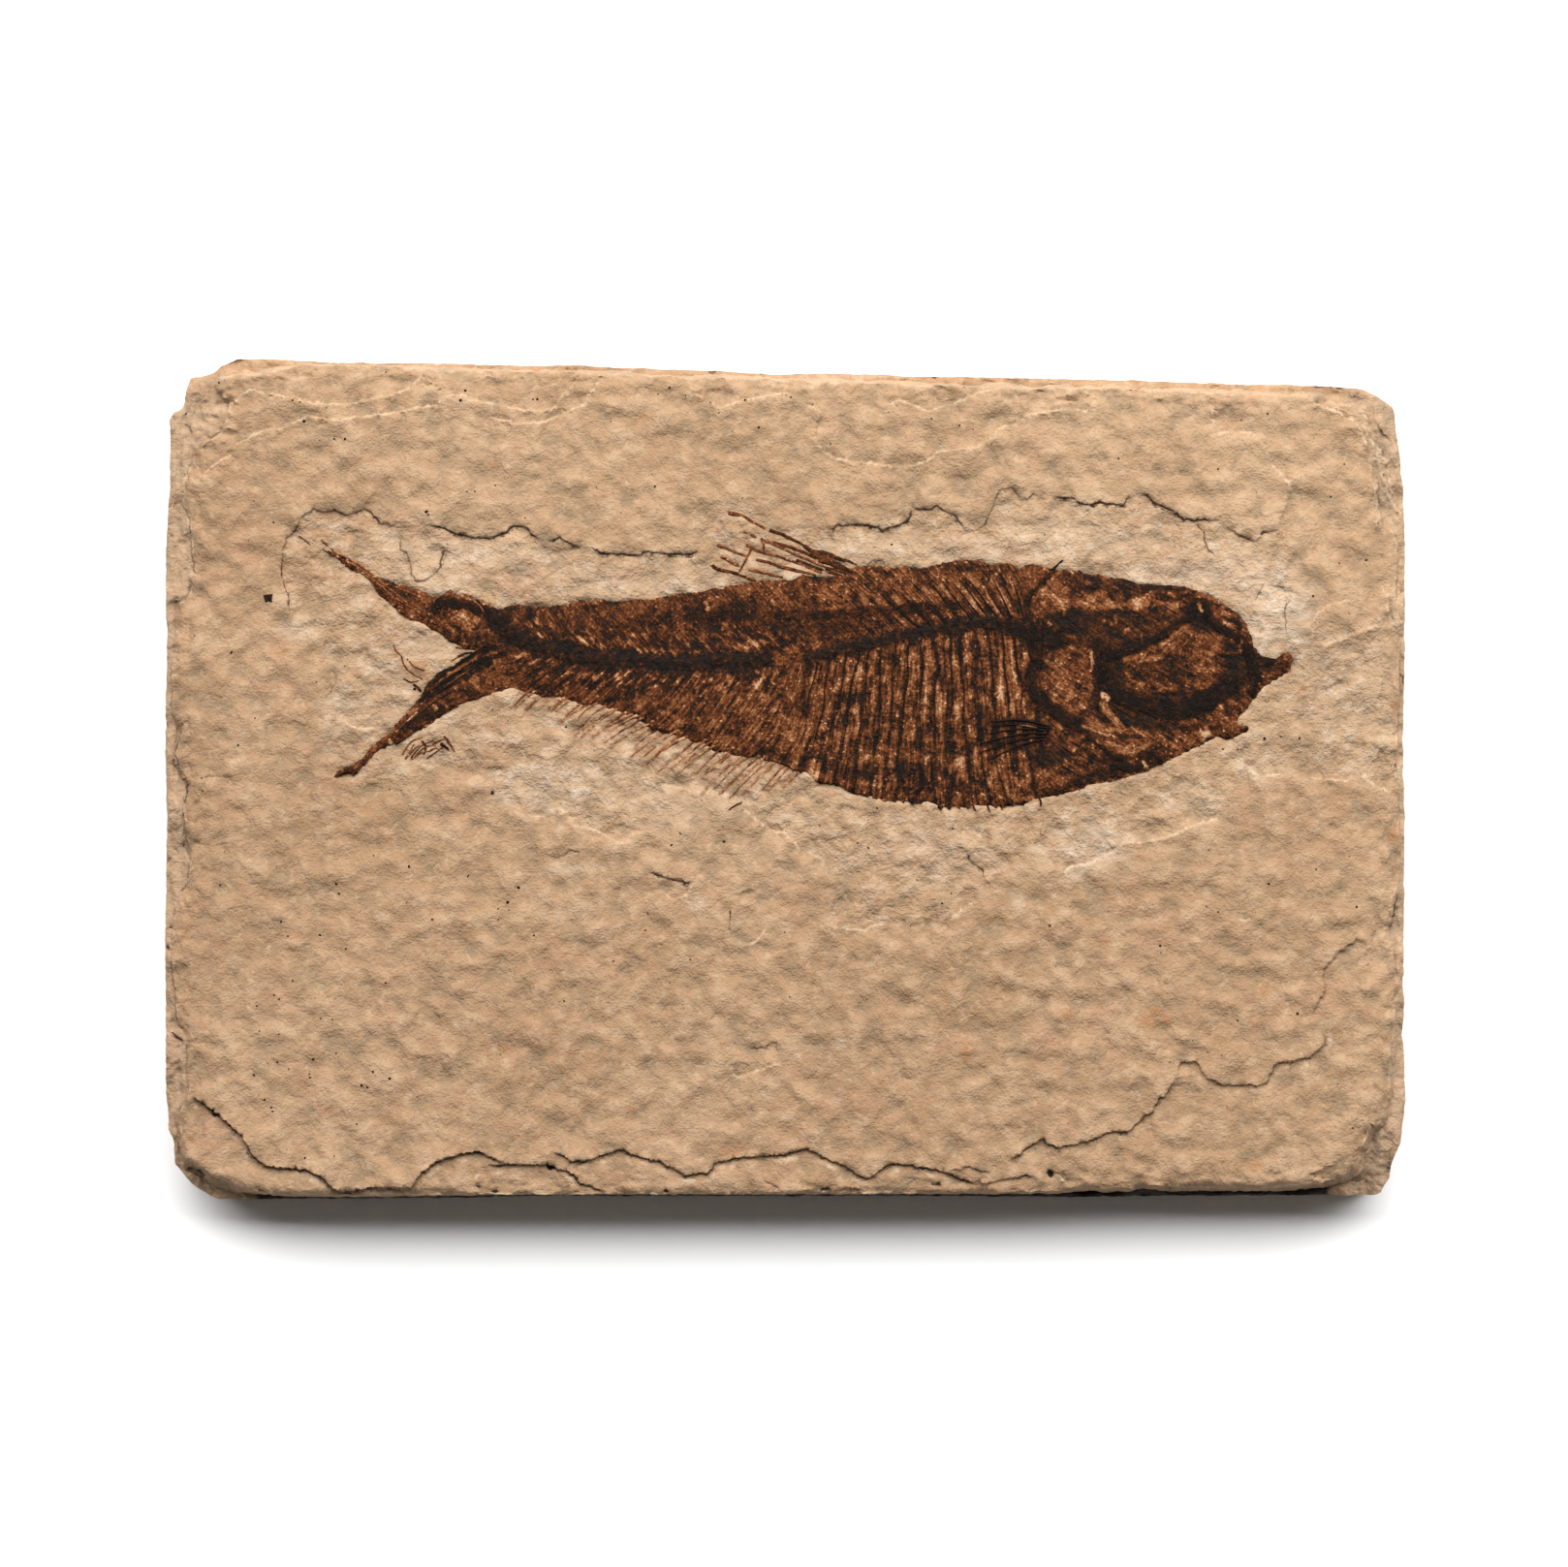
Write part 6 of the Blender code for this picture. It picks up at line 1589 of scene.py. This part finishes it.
def rib_lines():
    """Ribs below the backbone and spines above it, as guide lines."""
    lines = []
    random = np.random.default_rng(8)
    for station in np.arange(RIB_STATIONS[0], 1064, RIB_SPACING):
        reach = np.interp(station, RIB_STATIONS, RIB_LENGTH) * random.uniform(0.92, 1.03)
        ways = np.linspace(6, reach, 14)
        stray = rib_wander(np.column_stack((np.full(14, station), -ways)))
        half = random.uniform(1.0, 1.7) * np.clip((station - 820) / 80, 0.4, 1)
        line = leaning(station, ways, BELLY_LEAN, stray=stray)
        lines.append((line, half, 0.5, 0.085, random.uniform(0.05, 0.14)))
    for root, tip in SPINES:
        middle = ((root[0] + tip[0]) / 2 + 2, (root[1] + tip[1]) / 2 + 3)
        lines.append((curve([root, middle, tip]), 1.3, 0.4, 0.13, 0.05))
    for station in np.arange(560, 940, RIB_SPACING):
        ways = np.linspace(4, np.interp(station, [560, 700, 900], [16, 34, 30]), 5)
        lines.append((leaning(station, -ways, BACK_LEAN), 0.9, 0.4, 0.03, 0.16))
        lines.append((leaning(station, ways, BELLY_LEAN, 1.2), 0.9, 0.4, 0.03, 0.18))
    return lines


def ridge_lines():
    """Fine ridges that run along the thick dark bones."""
    lines = []
    for index, (half, high, tone, _, points) in enumerate(BONES):
        if half < 4 or tone > 0.12:
            continue
        line = curve(points)
        for share in (-0.7, -0.3, 0.1, 0.5, 0.85):
            strayed = shifted(line, half * share + 2.5 * wave(line, 12, 320 + index + share, 2))
            rise = BONE_RELIEF * high * math.sqrt(1 - (share / 1.2) ** 2) * 0.95 + 0.03
            lines.append((strayed, 0.75, 0.5, rise, tone + 0.05 + 0.06 * (index % 3) * share))
    return lines


def traced(rays, taper, rise, wider=1.0, paler=0.0):
    """Listed rays, each with half width and tone, as guide lines."""
    return [(curve(points), half * wider, taper, rise, tone + paler) for half, tone, points in rays]


def build_rods(name, lines, tree, material, on_fish):
    """Lay rods on the fish or on the rock: lines with radius, taper, rise and tone."""
    every = np.vstack([line for line, *_ in lines])
    ground = fish_height(every) if on_fish else rock(every)[0]
    ground = ground + 0.05 * wave(every, 8, 300, 2)
    guides = []
    for line, radius, tip, rise, tone in lines:
        height, ground = ground[:len(line)], ground[len(line):]
        height = height + rise - radius * PIXEL / MM
        guides.append((laid(line, height), tapered(len(line), radius, tip), tone))
    settings = {"Thickness": 1.0, "Sides": 8, "Wander": 0.2 * PIXEL, "Seed": 3, "Finish": material}
    return through_tree(name, guide_mesh(name, guides), tree, settings)


def specks_tree():
    """Mineral specks: a small rough grain on every guide point, turned and sized at random."""
    graph, places, size, seed, finish = start_tree(
        "specks", Places="Geometry", Size="Float", Seed="Int", Finish="Material")
    dots = graph.add("GeometryNodeMeshToPoints", {}, {0: places})
    grain = graph.add("GeometryNodeMeshIcoSphere", {}, {"Radius": 1.0, "Subdivisions": 1})
    turn = at_random(graph, (0, 0, 0), (0.4, 0.4, 6.28), seed)
    spread = at_random(graph, (0.6, 0.5, 0.3), (1.3, 1.1, 0.5), seed + 1)
    scale = graph.add("ShaderNodeVectorMath", {"operation": "SCALE"},
                      {0: spread, "Scale": own_width(graph) * size})
    specks = graph.add("GeometryNodeInstanceOnPoints", {},
                       {"Points": dots, "Instance": grain, "Rotation": turn, "Scale": scale})
    return end_tree(graph, specks, finish)


def build_specks(material):
    """Dark grains in the rock's face: the large ones listed, the small ones strewn."""
    random = np.random.default_rng(17)
    low, high = FACE_RIM.min(axis=0), FACE_RIM.max(axis=0)
    strewn = random.uniform(low, high, (SMALL_SPECKS * 2, 2))
    gap = gap_to(strewn, FISH_EDGE)
    strewn = strewn[inside(strewn, FACE_RIM) & ~inside(strewn, FISH_EDGE) & (gap > 3)][:SMALL_SPECKS]
    spots = np.vstack((up(SPECKS), strewn))
    radii = np.concatenate((SPECK_RADIUS * random.uniform(0.7, 1.3, len(SPECKS)),
                            SMALL_SPECK_RADIUS * random.uniform(0.5, 1.5, len(strewn))))
    heights = rock(spots)[0]
    guide = guide_mesh("specks", [(laid(spots, heights), radii * PIXEL, 0.05)])
    settings = {"Size": 1.0, "Seed": 5, "Finish": material}
    return through_tree("specks", guide, specks_tree(), settings)


def build_scale_chip(material):
    """A single dark scale that lies apart from the fish."""
    rim = ragged(resample(up(SCALE_CHIP), 1.0), 210, 4, 0.5)
    flat, faces = fill(rim, settled(lattice(rim, 1.2, 31), rim, 0.5))
    tops = rock(flat, fine=False)[0] + 0.06 + 0.04 * wave(flat, 4, 211)
    points, walls = close_body(flat, faces, tops, [(rim, rock(rim, fine=False)[0] - 0.3)])
    tone = np.full(len(points), 0.18)
    return new_piece("loose_scale", points, np.vstack(walls), material, {"tone": tone})


def mount(piece, slot, *nodes):
    """Fix a finished piece to the part's body and hide the nodes it stands for. The slot is not used."""
    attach(piece, "root")
    if nodes:
        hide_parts(*nodes)


def build_floor():
    """A plain pale floor."""
    bpy.ops.mesh.primitive_plane_add(size=FLOOR_SIZE, location=(0, 0, FLOOR_LEVEL))
    floor = bpy.context.object
    floor.name = "floor"
    material = bpy.data.materials.new("pale_floor")
    material.use_nodes = True
    shader = material.node_tree.nodes["Principled BSDF"]
    shader.inputs["Base Color"].default_value = colour(0.98, 0.98, 0.98)
    shader.inputs["Roughness"].default_value = 0.9
    shader.inputs["Specular IOR Level"].default_value = 0.0
    floor.data.materials.append(material)


def build_camera():
    """A long lens straight above the face, with the frame of the picture."""
    data = bpy.data.cameras.new("camera")
    data.lens = CAMERA_LENS
    data.sensor_width = SENSOR
    camera = bpy.data.objects.new("camera", data)
    bpy.context.scene.collection.objects.link(camera)
    centre = up(np.array(PICTURE_SIZE) / 2) * PIXEL
    distance = PICTURE_SIZE[0] * PIXEL * CAMERA_LENS / SENSOR
    camera.location = (*centre, FACE_HEIGHT * MM + distance)
    bpy.context.scene.camera = camera


def build_light():
    """A wide soft light behind the slab, strong enough to bleach the floor, and a dim surround."""
    data = bpy.data.lights.new("softbox", "AREA")
    data.shape = "RECTANGLE"
    data.size, data.size_y = LIGHT_SIZE
    data.energy = LIGHT_POWER
    light = bpy.data.objects.new("softbox", data)
    bpy.context.scene.collection.objects.link(light)
    light.location = LIGHT_PLACE
    light.rotation_euler = (-light.location).to_track_quat("-Z", "Y").to_euler()
    world = bpy.data.worlds.new("surround")
    bpy.context.scene.world = world
    world.use_nodes = True
    world.node_tree.nodes["Background"].inputs["Color"].default_value = colour(1, 1, 1)
    world.node_tree.nodes["Background"].inputs["Strength"].default_value = SURROUND
    bpy.context.scene.view_settings.view_transform = "Standard"


build_floor()
build_camera()
build_light()

stone = stone_material("limestone", 0.0005)
bone = bone_material("fossil_film", True)
rod_bone = bone_material("fossil_bone", False)
rods = rods_tree()

mount(build_upper_bed(stone), "limestone", "slab")
mount(build_lower_bed(stone), "limestone", "slab")
mount(build_fish(bone), "fossil_bone", "fish")
mount(build_scale_chip(rod_bone), "fossil_bone")
mount(build_specks(rod_bone), "fossil_bone")
tail = [(curve(points), half, 0.6, rise, tone) for half, rise, tone, points in TAIL_FIBRES]
anal = [(line, 1.1 + 0.7 * (index * 0.618 % 1), 0.5, 0.09, 0.56 + 0.2 * (index * 0.37 % 1))
        for index, line in enumerate(anal_lines())]
for name, lines, on_fish, nodes in (
        ("ribs_and_spines", rib_lines() + ridge_lines(), True, ["fish"]),
        ("fin_fibres", traced(PECTORAL_RAYS, 0.4, 0.20) + tail, True, ["fish"]),
        ("fin_rays", traced(DORSAL_RAYS, 0.8, 0.13, 1.6, 0.14) + anal, False, ["fish"]),
        ("stray_slivers", traced(STRAYS, 0.8, 0.08), False, []),
        ("tail_scrap", traced(SCRAP_RAYS, 0.7, 0.12), False, ["tail_ray_scrap"])):
    mount(build_rods(name, lines, rods, rod_bone, on_fish), "fossil_bone", *nodes)
